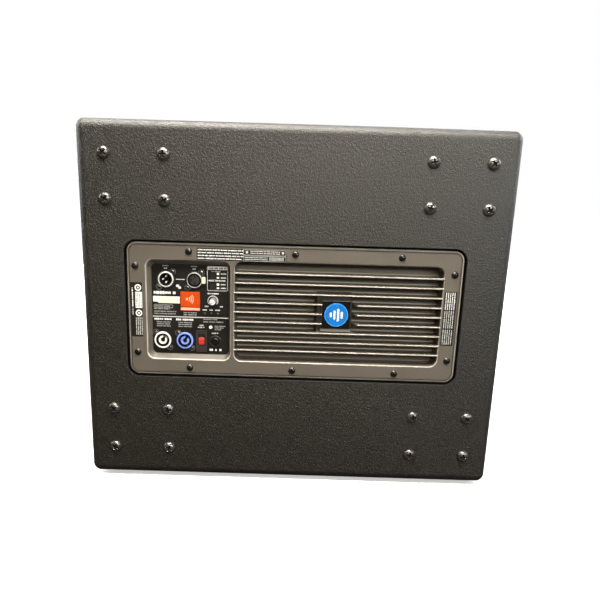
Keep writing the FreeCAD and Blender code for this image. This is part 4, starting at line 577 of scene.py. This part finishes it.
# colour, roughness, metal, grain, grain height, tone variation, scratches, then roughness variation, coat, specular
MOULDED = {
    "zinc_steel": ((0.50, 0.50, 0.48), 0.34, 1.0, 1200, 0.02, 0.12, 0.3),
    "rubber": ((0.018, 0.018, 0.019), 0.72, 0.0, 1500, 0.05, 0.2, 0.2),
    "black_plastic": ((0.0085, 0.0083, 0.0082), 0.40, 0.0, 900, 0.06, 0.2, 0.35),
    "black_metal": ((0.024, 0.024, 0.024), 0.42, 0.0, 1300, 0.07, 0.2, 0.3),
    "cast_aluminium": ((0.022, 0.022, 0.024), 0.46, 0.2, 700, 0.08, 0.2, 0.3),
    "cone_paper": ((0.028, 0.027, 0.026), 0.85, 0.0, 260, 0.25, 0.25, 0.2),
    "ferrite": ((0.035, 0.035, 0.037), 0.62, 0.1, 520, 0.08, 0.2, 0.3),
    "red_plastic": ((0.55, 0.035, 0.022), 0.34, 0.0, 1100, 0.03, 0.12, 0.3),
    "cable_sheath": ((0.02, 0.02, 0.021), 0.6, 0.0, 1500, 0.04, 0.2, 0.2),
    "gloss_black": ((0.0045, 0.0042, 0.0040), 0.16, 0.0, 600, 0.008, 0.2, 0.4, 0.05, 0.2, 0.35),
    "badge_blue": ((0.006, 0.135, 0.43), 0.24, 0.0, 800, 0.01, 0.10, 0.25, 0.06, 0.4),
    "badge_orange": ((0.45, 0.047, 0.001), 0.58, 0.0, 900, 0.015, 0.06, 0.15, 0.08, 0.0, 0.15),
    "nickel": ((0.84, 0.82, 0.77), 0.28, 0.45, 1500, 0.02, 0.08, 0.2),
    "worn_nickel": ((0.66, 0.64, 0.59), 0.28, 0.5, 1500, 0.02, 0.12, 0.3),
    "grey_plastic": ((0.050, 0.047, 0.042), 0.45, 0.0, 1300, 0.04, 0.15, 0.2),
    "cream_plastic": ((0.72, 0.66, 0.47), 0.38, 0.0, 1200, 0.03, 0.10, 0.25),
    "white_plastic": ((0.74, 0.73, 0.66), 0.36, 0.0, 1200, 0.03, 0.10, 0.25),
    "blue_plastic": ((0.19, 0.28, 0.74), 0.30, 0.0, 1200, 0.03, 0.12, 0.25),
    "dark_grey_plastic": ((0.024, 0.020, 0.018), 0.42, 0.0, 1300, 0.04, 0.15, 0.3),
    "badge_light": ((0.05, 0.28, 0.62), 0.25, 0.0, 800, 0.01, 0.08, 0.2),
    "liner_black": ((0.0035, 0.0033, 0.0032), 0.42, 0.0, 900, 0.03, 0.2, 0.2, 0.08, 0.0, 0.25),
    "insert_black": ((0.024, 0.023, 0.022), 0.36, 0.0, 1300, 0.03, 0.2, 0.3, 0.08, 0.0, 0.6),
    # near-black matt sheet standing in for the shade round the amplifier's rebate
    "shade_sheet_black": ((0.0012, 0.0011, 0.0010), 0.9, 0.0, 900, 0.05, 0.2, 0.0, 0.04, 0.0, 0.06),
    "rim_grey": ((0.13, 0.125, 0.115), 0.34, 0.0, 1300, 0.02, 0.2, 0.3),
    "brushed_cap": ((0.78, 0.77, 0.74), 0.32, 0.25, 1500, 0.02, 0.06, 0.3),
}
# colour, roughness
INKS = {
    # near black for the faces down in the screws' cross recesses: painted shade
    "recess_shade_black": ((0.0022, 0.0020, 0.0019), 0.75),
    "white_ink": ((0.80, 0.79, 0.75), 0.45),
    "grey_ink": ((0.56, 0.545, 0.51), 0.45),
    "dim_ink": ((0.29, 0.28, 0.26), 0.45),
    "paper_white": ((0.86, 0.85, 0.78), 0.5),
    "aged_paper": ((0.70, 0.70, 0.56), 0.5),
    "label_black": ((0.011, 0.010, 0.009), 0.4),
    "label_grey": ((0.030, 0.030, 0.028), 0.4),
    "pale_pink": ((0.92, 0.42, 0.30), 0.4),
}
# nodes that take their own kind of the finish in their slot
OWN_FINISH = {"xlr_input_shell": "worn_nickel", "amp_screws": "dark_screw", "xlr_output_pins": "pin_metal",
              "xlr_input_insert": "insert_black"}


def make_finishes():
    made = {
        "coat": textured_coat(),
        "plywood": plywood(),
        "black_steel": screw_steel("black_oxide_steel", (0.135, 0.128, 0.116), 0.27, 0.85),
        "dark_screw": screw_steel("dark_screw", (0.030, 0.028, 0.025), 0.20, 0.6),
        "pin_metal": pin_metal(),
        "foam": foam(),
        "copper_coil": winding(),
        "spider_cloth": cloth("spider_cloth", (0.30, 0.19, 0.07), (0.62, 0.45, 0.22)),
        "taupe_casting": cast_paint(),
        "overlay_black": overlay_film(),
        "led_lens": lens(),
        "board_green": circuit_board(),
    }
    for name, values in MOULDED.items():
        made[name] = plain_finish(name, *values)
    for name, values in INKS.items():
        made[name] = ink(name, *values)
    return {name: finish.material for name, finish in made.items()}


def dress_nodes():
    """Each CAD node takes its finish; round surfaces shade smooth and edges stay crisp."""
    for part in frame["record"]["subparts"]:
        node = frame["nodes"][part["node"]]
        node.data.materials.clear()
        node.data.materials.append(finishes[OWN_FINISH.get(part["node"], part["material_slot"])])
    for node in frame["nodes"].values():
        smooth(node)


def smooth(piece, angle=35):
    mesh = piece.data
    mesh.shade_smooth()
    mesh.set_sharp_from_angle(angle=math.radians(angle))


# ---- flat printed shapes

class Stamp:
    """Thin flat shapes on a plane that faces the back of the cabinet, gathered into one piece."""

    def __init__(self, depth, thickness=INK):
        self.shape = bmesh.new()
        self.back = depth
        self.front = depth - thickness

    def outline(self, points):
        """A closed plate from its outline, given anticlockwise as seen."""
        front = [self.shape.verts.new(seen(u, v, self.front)) for u, v in points]
        back = [self.shape.verts.new(seen(u, v, self.back)) for u, v in points]
        self.shape.faces.new(front)
        self.shape.faces.new(list(reversed(back)))
        for index in range(len(points)):
            after = (index + 1) % len(points)
            self.shape.faces.new((front[index], back[index], back[after], front[after]))

    def bar(self, u, v, width, height, corner=0.0):
        if corner:
            self.outline(rounded(u, v, width, height, corner))
        else:
            self.outline([(u + side_u * width / 2, v + side_v * height / 2)
                          for side_u, side_v in ((-1, -1), (1, -1), (1, 1), (-1, 1))])

    def disc(self, u, v, radius, steps=28):
        self.outline(circle(u, v, radius, steps))

    def band(self, outer, inner):
        """Closed band between two outlines with the same number of points."""
        rings = []
        for points, depth in ((outer, self.front), (inner, self.front), (inner, self.back), (outer, self.back)):
            rings.append([self.shape.verts.new(seen(u, v, depth)) for u, v in points])
        loft(self.shape, rings + rings[:1])

    def frame(self, u, v, width, height, line, corner):
        self.band(rounded(u, v, width, height, corner),
                  rounded(u, v, width - 2 * line, height - 2 * line, max(corner - line, 0.1)))

    def ring(self, u, v, outer, inner, steps=40):
        self.band(circle(u, v, outer, steps), circle(u, v, inner, steps))

    def arc(self, u, v, radius, line_start, line_end, start, sweep, steps=24):
        """Part of a circle whose line grows from one width to another."""
        outside, inside = [], []
        for step in range(steps + 1):
            share = step / steps
            angle = math.radians(start + sweep * share)
            half = (line_start + (line_end - line_start) * share) / 2
            for side, reach in ((outside, radius + half), (inside, radius - half)):
                side.append((u + reach * math.cos(angle), v + reach * math.sin(angle)))
        points = outside + inside[::-1]
        self.outline(points if sweep > 0 else points[::-1])

    def words(self, left, right, v, height, seed, upright=False):
        """A line of blank words: runs of small blocks of uneven width, with gaps between the words."""
        draw = random.Random(seed)
        start = left
        remaining = draw.randint(3, 8)
        while start < right - height * 0.4:
            length = min(draw.uniform(0.55, 0.95) * height, right - start)
            thick = height * draw.choice((0.72, 0.85, 1.0, 1.0))
            if upright:
                self.bar(v, start + length / 2, thick, length)
            else:
                self.bar(start + length / 2, v, length, thick)
            remaining -= 1
            start += length + height * (0.16 if remaining else 0.7)
            if not remaining:
                remaining = draw.randint(2, 8)

    def lines(self, left, right, v, height, seed, count, drop, upright=False):
        """Lines of words one below the other."""
        for step in range(count):
            self.words(left, right, v - drop * step, height, seed + step, upright)

    def place(self, name, finish, slot, body="cabinet"):
        return place_mesh(name, self.shape, finish, body)


def loft(shape, rings, capped=False):
    """Faces between each ring of corners and the next; a ring may be one corner repeated."""
    for near, far in zip(rings, rings[1:]):
        for step in range(len(near)):
            after = (step + 1) % len(near)
            corners = list(dict.fromkeys((near[step], near[after], far[after], far[step])))
            if len(corners) > 2:
                shape.faces.new(corners)
    if capped:
        shape.faces.new(rings[0])
        shape.faces.new(rings[-1])


def circle(u, v, radius, steps):
    turn = 2 * math.pi / steps
    return [(u + radius * math.cos(k * turn), v + radius * math.sin(k * turn)) for k in range(steps)]


def turned(shape, u, v, profile, steps):
    """Rings of corners round an axis from a line of (radius, depth); a radius of nothing is one corner."""
    rings = []
    for radius, depth in profile:
        if radius:
            rings.append([shape.verts.new(seen(*point, depth)) for point in circle(u, v, radius, steps)])
        else:
            rings.append([shape.verts.new(seen(u, v, depth))] * steps)
    return rings


def place_mesh(name, shape, finish, body="cabinet"):
    bmesh.ops.recalc_face_normals(shape, faces=shape.faces)
    mesh = bpy.data.meshes.new(name)
    shape.to_mesh(mesh)
    shape.free()
    mesh.materials.append(finishes[finish])
    piece = add_object(name, mesh)
    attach(piece, body)
    return piece


def rounded(u, v, width, height, corner, steps=5):
    """Outline of a rectangle with round corners, anticlockwise."""
    corner = min(corner, width / 2 - 0.01, height / 2 - 0.01)
    points = []
    for side_u, side_v, start in ((1, 1, 0), (-1, 1, 90), (-1, -1, 180), (1, -1, 270)):
        for step in range(steps + 1):
            angle = math.radians(start + 90 * step / steps)
            points.append((u + side_u * (width / 2 - corner) + corner * math.cos(angle),
                           v + side_v * (height / 2 - corner) + corner * math.sin(angle)))
    return points


def plate(name, depth, thickness, u, v, width, height, corner, finish, slot):
    """A label or sticker: one plain rectangle."""
    stamp = Stamp(depth, thickness)
    stamp.bar(u, v, width, height, corner)
    stamp.place(name, finish, slot)


def control_prints():
    """Everything screen printed on the control overlay. Words are runs of small blocks."""
    white, grey, dim = Stamp(OVERLAY_DEPTH), Stamp(OVERLAY_DEPTH), Stamp(OVERLAY_DEPTH)
    left, base = OVERLAY_U, OVERLAY_V

    xlr_out_u = middle("xlr_output_shell")[0]
    xlr_in_u, xlr_v = middle("xlr_input_insert")
    for u in (xlr_out_u, xlr_in_u):
        dim.words(u - 4.8, u + 4.8, xlr_v + 19.2, 1.7, 11)
        grey.words(u - 2.6, u + 2.6, xlr_v + 15.6, 1.7, 12)
    between = (xlr_out_u + xlr_in_u) / 2
    grey.bar(between, xlr_v + 0.4, 12.6, 1.2, 0.4)
    white.bar(between - 4.0, xlr_v - 9.0, 4.4, 3.4, 1.2)
    white.bar(between - 1.0, xlr_v - 11.4, 3.8, 3.0, 1.0)

    u, v = left + 38.6, base + 45.6
    grey.frame(u, v, 29.4, 35.0, 0.7, 2.2)
    white.bar(u, v + 14.6, 27.6, 3.9, 1.2)
    dark = Stamp(OVERLAY_DEPTH - INK, 0.03)
    dark.words(u - 12.4, u + 12.4, v + 14.6, 2.1, 15)
    dark.place("prints_on_header", "label_black", "overlay_black")
    dim.words(u - 9.0, u + 5.0, v + 10.2, 1.6, 14)
    grey.words(u - 12.6, u + 13.2, v - 2.8, 2.0, 16)
    for step, rise in enumerate((7.0, 1.4, -8.2, -13.4)):
        white.bar(u + 0.6, v + rise, 3.5, 2.4 if step % 2 else 3.2, 0.8)
        grey.words(u + 4.8, u + 12.4, v + rise, 1.9, 20 + step)

    u, v = middle("level_potentiometer")
    white.words(u - 8.4, u + 7.6, v + 9.8, 1.9, 31)
    grey.arc(u - 1.0, v - 0.6, 7.1, 0.7, 1.7, 222, -262)
    grey.words(u - 12.6, u - 7.4, v - 8.8, 2.0, 33)
    grey.words(u + 9.2, u + 13.2, v - 8.8, 2.4, 34)
    leds_u, leds_v, leds_width = measure("status_leds")[:3]
    for step, width in enumerate((6.0, 5.0, 7.6)):
        u = leds_u - leds_width / 2 + 1.5 + 9.4 * step
        white.words(u - width / 2, u + width / 2, leds_v + 4.7, 1.7, 36 + step)

    white.words(left - 52.6, left - 21.4, base + 23.6, 4.3, 41)
    dim.frame(left - 39.0, base + 4.0, 27.4, 5.0, 0.7, 1.6)
    dim.words(left - 51.0, left - 29.0, base + 4.0, 1.7, 42)
    for step, (end, rise) in enumerate(((-29.8, 0.2), (-20.8, -3.6), (-20.8, -6.9))):
        dim.words(left - 52.6, left + end, base + rise, 1.6, 43 + step)
    for rise in (-4.5, -7.6):
        dim.words(left - 10.2, left + 9.2, base + rise, 1.8, 50 + int(rise))
    grey.bar(left, base - 11.0, OVERLAY_WIDTH - 0.6, 1.3)

    out_u, mains_v = middle("mains_output_socket")
    in_u = middle("mains_input_socket")[0]
    for u, seed in ((out_u + 1.4, 60), (in_u + 0.6, 70)):
        white.words(u - 13.4, u + 12.8, mains_v + 30.4, 2.8, seed)
        dim.lines(u - 10.2, u + 9.6, mains_v + 26.1, 1.6, seed + 1, 3, 2.9)
    dim.words(left + 18.2, left + 38.6, base - 13.5, 1.8, 81)
    dim.words(left + 18.2, left + 47.6, base - 17.2, 1.9, 82)

    u, v = middle("voltage_selector_body")
    grey.words(u - 2.8, u + 3.2, v + 23.2, 1.8, 84)
    grey.words(u - 5.2, u + 4.8, v + 20.2, 1.9, 85)
    white.disc(left + 28.7, base - 25.0, 2.5)
    for step in range(3):
        dim.words(left + 34.6, left + 50.4 - 3.0 * step, base - 23.2 - 2.6 * step, 1.6, 86 + step)
    u, v = middle("breaker_body")
    grey.words(u - 5.0, u + 4.8, v + 12.3, 1.7, 90)
    for offset, width in ((-7.4, 2.0), (-4.6, 2.4), (1.0, 2.6), (7.4, 3.4)):
        white.bar(u + offset, v - 12.6, width, 3.2, 0.8)

    white.place("prints_white", "white_ink", "white_plastic")
    grey.place("prints_grey", "grey_ink", "grey_plastic")
    dim.place("prints_dim", "dim_ink", "grey_plastic")

    plate("serial_sticker", OVERLAY_DEPTH, PAPER, left - 34.5, base + 14.4, 38.2, 8.0, 0.3, "paper_white",
          "white_plastic")
    plate("second_sticker", OVERLAY_DEPTH - PAPER, INK, left - 31.0, base + 12.6, 31.2, 8.2, 0.3, "aged_paper",
          "cream_plastic")
    first = Stamp(OVERLAY_DEPTH - PAPER, 0.02)
    first.words(left - 52.4, left - 17.0, base + 17.2, 0.9, 201)
    first.place("sticker_words", "grey_ink", "grey_plastic")
    second = Stamp(OVERLAY_DEPTH - PAPER - INK, 0.02)
    second.lines(left - 45.0, left - 17.4, base + 15.0, 0.7, 203, 3, 2.3)
    second.place("second_sticker_words", "grey_ink", "grey_plastic")


def name_badge_prints():
    """Blank band and a plain sound sign on the orange badge."""
    u, v, width, height, depth = measure("name_badge")[:5]
    bottom = v - height / 2
    plate("badge_line", depth, 0.06, u, bottom + 5.7, width - 0.8, 0.9, 0.0, "label_grey", "dark_grey_plastic")
    band = Stamp(depth, 0.06)
    band.bar(u, bottom + 2.6, width - 0.8, 3.6, 0.3)
    band.disc(u - 4.6, v + 3.2, 1.8)
    for radius in (4.0, 6.6, 9.2):
        band.arc(u - 4.6, v + 3.2, radius, 1.2, 1.2, -42, 84, 14)
    band.place("badge_band_and_sign", "pale_pink", "cream_plastic")


def round_badge_sign():
    """Four plain level bars on the blue disc."""
    u, v, width, _, depth, _ = measure("badge_disc")
    sign = Stamp(depth, 0.10)
    for step, height in enumerate((7.0, 13.0, 18.0, 10.0)):
        sign.bar(u - 7.8 + 5.2 * step, v, 3.1, height, 1.4)
    sign.place("badge_level_bars", "white_ink", "white_plastic")
    edge = Stamp(depth, 0.05)
    edge.ring(u, v, width / 2 - 0.2, width / 2 - 1.2, 64)
    edge.place("badge_edge", "badge_light", "badge_blue")


def flange_labels():
    """Dark labels on the casting's flange, with blank words and plain signs."""
    v = FLANGE_V
    words_depth = FLANGE_DEPTH - LABEL
    plate("left_label", FLANGE_DEPTH, LABEL, -223.3, v - 0.5, 17.0, 78.2, 0.8, "label_black", "overlay_black")
    white = Stamp(words_depth, 0.04)
    for u, rise in ((-220.6, 31.2), (-220.2, -5.2)):
        white.ring(u, v + rise, 4.7, 2.9, 32)
        white.disc(u, v + rise, 1.3, 16)
    white.bar(-219.9, v + 13.6, 9.6, 23.0, 0.6)
    white.words(v + 4.0, v + 31.0, -228.6, 1.5, 101, upright=True)
    white.place("left_label_signs", "paper_white", "white_plastic")
    dark = Stamp(words_depth - 0.04, 0.02)
    dark.lines(v + 3.6, v + 23.6, -223.4, 1.0, 104, 4, -2.3, upright=True)
    dark.place("left_label_box_words", "label_black", "overlay_black")
    grey = Stamp(words_depth, 0.04)
    grey.lines(v - 37.0, v - 11.6, -224.2, 1.35, 110, 4, -2.7, upright=True)
    grey.words(v - 8.0, v + 2.0, -228.6, 1.2, 115, upright=True)
    grey.place("left_label_words", "grey_ink", "grey_plastic")

    plate("right_label", FLANGE_DEPTH, LABEL, 220.6, v - 0.5, 17.6, 78.2, 0.8, "label_black", "overlay_black")
    bright = Stamp(words_depth, 0.04)
    bright.lines(v + 13.0, v + 37.4, 214.4, 1.3, 120, 5, -3.0, upright=True)
    bright.place("right_label_top_words", "white_ink", "white_plastic")
    pale = Stamp(words_depth, 0.04)
    pale.lines(v - 14.0, v + 11.6, 214.4, 1.2, 130, 5, -3.0, upright=True)
    pale.lines(v - 38.0, v - 16.0, 214.4, 1.2, 140, 5, -3.0, upright=True)
    pale.place("right_label_words", "grey_ink", "grey_plastic")

    plate("top_label", FLANGE_DEPTH, LABEL, -74.6, v + 80.9, 125.4, 16.6, 0.8, "label_black", "overlay_black")
    rows = Stamp(words_depth, 0.04)
    for step in range(4):
        rows.words(-135.8, -72.0 - 3.0 * (step == 3), v + 86.8 - 3.95 * step, 1.6, 150 + step)
    rows.place("top_label_words", "white_ink", "white_plastic")
    small = Stamp(words_depth, 0.04)
    small.frame(-42.8, v + 76.6, 59.6, 7.4, 0.4, 0.6)
    small.frame(-42.8, v + 85.0, 59.6, 7.6, 0.4, 0.6)
    for u in (-67.4, -17.4):
        small.bar(u, v + 85.2, 3.2, 3.2, 0.8)
    small.lines(-62.4, -21.4, v + 86.6, 1.3, 160, 2, 2.7)
    small.lines(-70.6, -38.4, v + 78.0, 1.2, 170, 2, 2.6)
    for step in range(12):
        small.bar(-35.6 + 1.7 * step, v + 76.7, 0.8, 4.6)
    small.place("top_label_small_words", "grey_ink", "grey_plastic")


# ---- modelled pieces

def perforated_grille():
    """Steel sheet with staggered hexagonal holes inside a plain border."""
    low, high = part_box("front_grille")
    pitch = 9.5 * MM
    hole = 4.15 * MM
    border = 20.0 * MM
    bevel = 0.6 * MM
    back_set = 0.3 * MM
    row_height = pitch * math.sqrt(3) / 2
    centre_x = (low.x + high.x) / 2
    centre_z = (low.z + high.z) / 2
    half_x = high.x - centre_x
    half_z = high.z - centre_z
    rows = int((half_z - border) / row_height)
    columns = int((half_x - border) / pitch)
    corners = [math.radians(30 + 60 * k) for k in range(6)]
    shape = bmesh.new()
    for row in range(-rows, rows + 1):
        shift = pitch / 2 if row % 2 else 0.0
        for column in range(-columns, columns + (0 if row % 2 else 1)):
            x = centre_x + column * pitch + shift
            z = centre_z + row * row_height
            rings = [[shape.verts.new((x + radius * math.cos(a), low.y + back_set, z + radius * math.sin(a)))
                      for a in corners] for radius in (pitch / math.sqrt(3), hole)]
            loft(shape, rings)
            if abs(row) == rows or abs(x - centre_x) > (columns - 0.25) * pitch:
                shape.faces.new(rings[1])
    bmesh.ops.remove_doubles(shape, verts=shape.verts, dist=0.05 * MM)
    sheet = place_mesh("grille_perforations", shape, "black_metal")
    solid = sheet.modifiers.new("sheet", "SOLIDIFY")
    solid.thickness = high.y - low.y - 2 * back_set
    solid.offset = 1.0

    edge = bmesh.new()
    inner_x = (columns - 0.02) * pitch
    inner_z = (rows - 0.02) * row_height
    lip = 0.4 * MM
    rings = []
    for across, up, y in ((half_x, half_z, high.y), (half_x, half_z, low.y + bevel),
                          (half_x - bevel, half_z - bevel, low.y), (inner_x + lip, inner_z + lip, low.y),
                          (inner_x, inner_z, low.y + lip), (inner_x, inner_z, high.y)):
        rings.append([edge.verts.new((centre_x + side_x * across, y, centre_z + side_z * up))
                      for side_x, side_z in ((1, 1), (-1, 1), (-1, -1), (1, -1))])
    loft(edge, rings + rings[:1])
    border_piece = place_mesh("grille_border", edge, "black_metal")
    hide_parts("front_grille")
    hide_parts("front_grille")


def fluted_knob():
    """Knob with a fluted grip, a brushed end face and a pointer line at its low stop."""
    u, v, width, _, front, back = measure("level_knob")
    radius = width / 2
    flutes = 20
    steps = flutes * 6
    shape = bmesh.new()
    rings = []
    for depth, share, ripple in ((back, 0.96, 0.0), (back - 0.6, 1.0, 0.0), (back - 2.0, 1.0, 1.0),
                                 (front + 1.6, 1.0, 1.0), (front + 0.7, 0.985, 0.4), (front + 0.2, 0.94, 0.0),
                                 (front, 0.87, 0.0)):
        ring = []
        for step in range(steps):
            angle = 2 * math.pi * step / steps
            reach = radius * share - FLUTE_DEPTH * ripple * (0.5 - 0.5 * math.cos(flutes * angle))
            ring.append(shape.verts.new(seen(u + reach * math.cos(angle), v + reach * math.sin(angle), depth)))
        rings.append(ring)
    loft(shape, rings, capped=True)
    body = place_mesh("knob_grip", shape, "rim_grey", "level_knob")
    smooth(body, 40)
    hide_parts("level_knob")
    cap = Stamp(front, 0.02)
    cap.disc(u, v, radius * 0.86, 48)
    cap.place("knob_cap", "brushed_cap", "nickel", "level_knob")
    pointer = Stamp(front - 0.02, 0.03)
    angle = math.radians(POINTER_AT_REST)
    along = Vector((math.cos(angle), math.sin(angle)))
    side = Vector((-along.y, along.x)) * 0.35
    start = Vector((u, v)) + along * radius * 0.30
    end = Vector((u, v)) + along * radius * 0.80
    pointer.outline([tuple(start - side), tuple(end - side), tuple(end + side), tuple(start + side)])
    pointer.place("knob_pointer", "label_black", "gloss_black", "level_knob")


def lathe(name, node, profile, steps=64):
    """A black turned ring or cup on a connector's axis. The profile is a closed line of (radius, depth)."""
    u, v = middle(node)
    shape = bmesh.new()
    rings = turned(shape, u, v, profile, steps)
    loft(shape, rings + rings[:1])
    smooth(place_mesh(name, shape, "liner_black"))


def connector_liners():
    """Black insulators inside the connectors, behind their front rings, and black discs as painted shade down in the
    holes. The mains channels are black partly as the insulator's colour and partly as painted shade.
    """
    cup = [(9.15, 9.46), (7.95, 9.46), (7.75, 9.9), (7.75, 21.6), (0, 21.6), (0, 22.9), (8.36, 22.9), (8.36, 10.2),
           (9.15, 9.49)]
    tube = [(9.75, 9.76), (8.9, 9.76), (8.7, 10.2), (8.7, 21.0), (7.3, 21.0), (7.3, 22.0), (9.44, 22.0), (9.44, 10.4),
            (9.75, 9.79)]
    channel = [(9.7, 8.76), (8.6, 8.76), (8.4, 9.1), (8.4, 15.0), (6.14, 15.0), (6.14, 16.0), (8.86, 16.0), (8.86, 9.4),
               (9.7, 8.79)]
    bore = [(3.26, 12.0), (0, 12.0), (0, 13.0), (3.26, 13.0)]
    lathe("xlr_output_liner", "xlr_output_shell", cup)
    lathe("xlr_input_liner", "xlr_input_insert", tube)
    u, v = middle("xlr_input_insert")
    # Painted shade: black discs down in the input's three holes.
    hole_shade_discs = Stamp(12.4, 0.7)
    for along, across in ((0, 1), (-1, 0), (0, -1)):
        hole_shade_discs.disc(u + XLR_PIN_CIRCLE * along, v + XLR_PIN_CIRCLE * across, 1.47)
    hole_shade_discs.place("xlr_input_bores", "liner_black", "black_plastic")
    # Mains channels: black partly as the insulator's colour, partly as painted shade; the discs in the middle holes are
    # painted shade.
    for side in ("mains_output", "mains_input"):
        lathe(side + "_liner", side + "_socket", channel)
        lathe(side + "_bore", side + "_socket", bore, 32)


def caster_heads():
    """Domed M8 screws with tapered cross recesses, each turned as it was left when tightened. The faces down in the
    recesses take a near-black finish as painted shade.
    """
    _, middle_v, width, height, front, _ = measure("caster_point_screws")
    radius = 8.7
    sizes = [0.36 * k for k in range(15)] + [5.5, 6.1, 6.7, 7.2, 7.6, 7.95, 8.25, 8.45, 8.6, radius]
    shank = ((radius, 0.02), (4.0, 0.02), (4.0, 26.0), (0.0, 26.0))
    steps = 64
    lip = 0.4
    rise = -front - 0.05
    far_u = width / 2 - CASTER_HEAD_MARGIN
    far_v = height / 2 - CASTER_HEAD_MARGIN
    draw = random.Random(9)
    shape = bmesh.new()
    sunk = set()
    for side_u, side_v, step_u, step_v in itertools.product((1, -1), (1, -1), (0, 80.0), (0, 60.0)):
        u = side_u * (far_u - step_u)
        v = middle_v + side_v * (far_v - step_v)
        turn = draw.uniform(0, math.pi / 2)
        rings = []
        for size in sizes:
            ring = []
            crown = lip + (rise - lip) * max(1 - (size / radius) ** 2.5, 0.0) ** 0.55
            for step in range(steps if size else 1):
                angle = 2 * math.pi * step / steps
                x = size * math.cos(angle - turn)
                y = size * math.sin(angle - turn)
                slot = max(3.0 - 0.12 * size - 2 * min(abs(x), abs(y)), 0.0)
                slot = min(slot, max(4.8 - size, 0.0) * 1.6, 0.5) / 0.5
                depth = slot * (2.9 - 0.32 * size) - crown
                ring.append(shape.verts.new(seen(u + size * math.cos(angle), v + size * math.sin(angle), depth)))
                if slot > 0.6:
                    sunk.add(ring[-1])
            rings.append(ring if size else ring * steps)
        loft(shape, rings + turned(shape, u, v, shank, steps))
    # Painted shade: faces down in the cross recesses take the second, near-black finish.
    for face in shape.faces:
        face.material_index = int(sum(corner in sunk for corner in face.verts) > 1)
    piece = place_mesh("caster_screws", shape, "black_steel")
    piece.data.materials.append(finishes["recess_shade_black"])
    smooth(piece, 38)
    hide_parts("caster_point_screws")


def slider_cap():
    """Red slider with softened edges and a screwdriver slot, built from its back to the floor of its slot."""
    u, v, _, _, front, back = measure("voltage_selector_slider")
    shape = bmesh.new()
    rings = []
    for width, height, corner, depth in ((8.4, 10.4, 1.0, back), (8.4, 10.4, 1.0, front + 0.6),
                                         (8.0, 10.0, 0.9, front + 0.15), (7.4, 9.4, 0.7, front),
                                         (5.4, 2.0, 0.4, front), (4.9, 1.5, 0.3, front + 1.2)):
        rings.append([shape.verts.new(seen(*point, depth)) for point in rounded(u, v, width, height, corner)])
    loft(shape, rings, capped=True)
    piece = place_mesh("slider_cap", shape, "red_plastic", "voltage_slider")
    smooth(piece, 30)
    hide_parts("voltage_selector_slider")


def rebate_lining():
    """A black sheet round the wall of the rebate that the amplifier sits in, as painted shade."""
    # Painted shade: a near-black sheet lines the rebate's wall.
    black_sheet = Stamp(11.0, 10.2)
    black_sheet.band(rounded(0, FLANGE_V, REBATE_WIDTH - 0.1, REBATE_HEIGHT - 0.1, REBATE_CORNER, 8),
              rounded(0, FLANGE_V, REBATE_WIDTH - 0.8, REBATE_HEIGHT - 0.8, REBATE_CORNER - 0.35, 8))
    smooth(black_sheet.place("rebate_lining", "shade_sheet_black", "foam"), 30)


def ear_rims():
    """Painted highlights: bright rings round the screw ears of the connectors."""
    highlight_rings = Stamp(EAR_FRONT, 0.04)
    for node in ("xlr_output_shell", "xlr_input_insert", "mains_output_socket", "mains_input_socket"):
        u, v = middle(node)
        side = 1 if node.startswith("xlr") else -1
        for sign in (1, -1):
            highlight_rings.ring(u + sign * side * EAR_ACROSS, v + sign * EAR_UP, EAR_RIM, EAR_RIM - 0.42, 40)
    highlight_rings.place("ear_rims", "rim_grey", "grey_plastic")


# ---- making

make_camera()
make_world()
make_lights()
make_floor()
bpy.context.scene.view_settings.view_transform = "Standard"
finishes = make_finishes()
dress_nodes()
control_prints()
name_badge_prints()
round_badge_sign()
flange_labels()
perforated_grille()
fluted_knob()
connector_liners()
ear_rims()
caster_heads()
slider_cap()
rebate_lining()
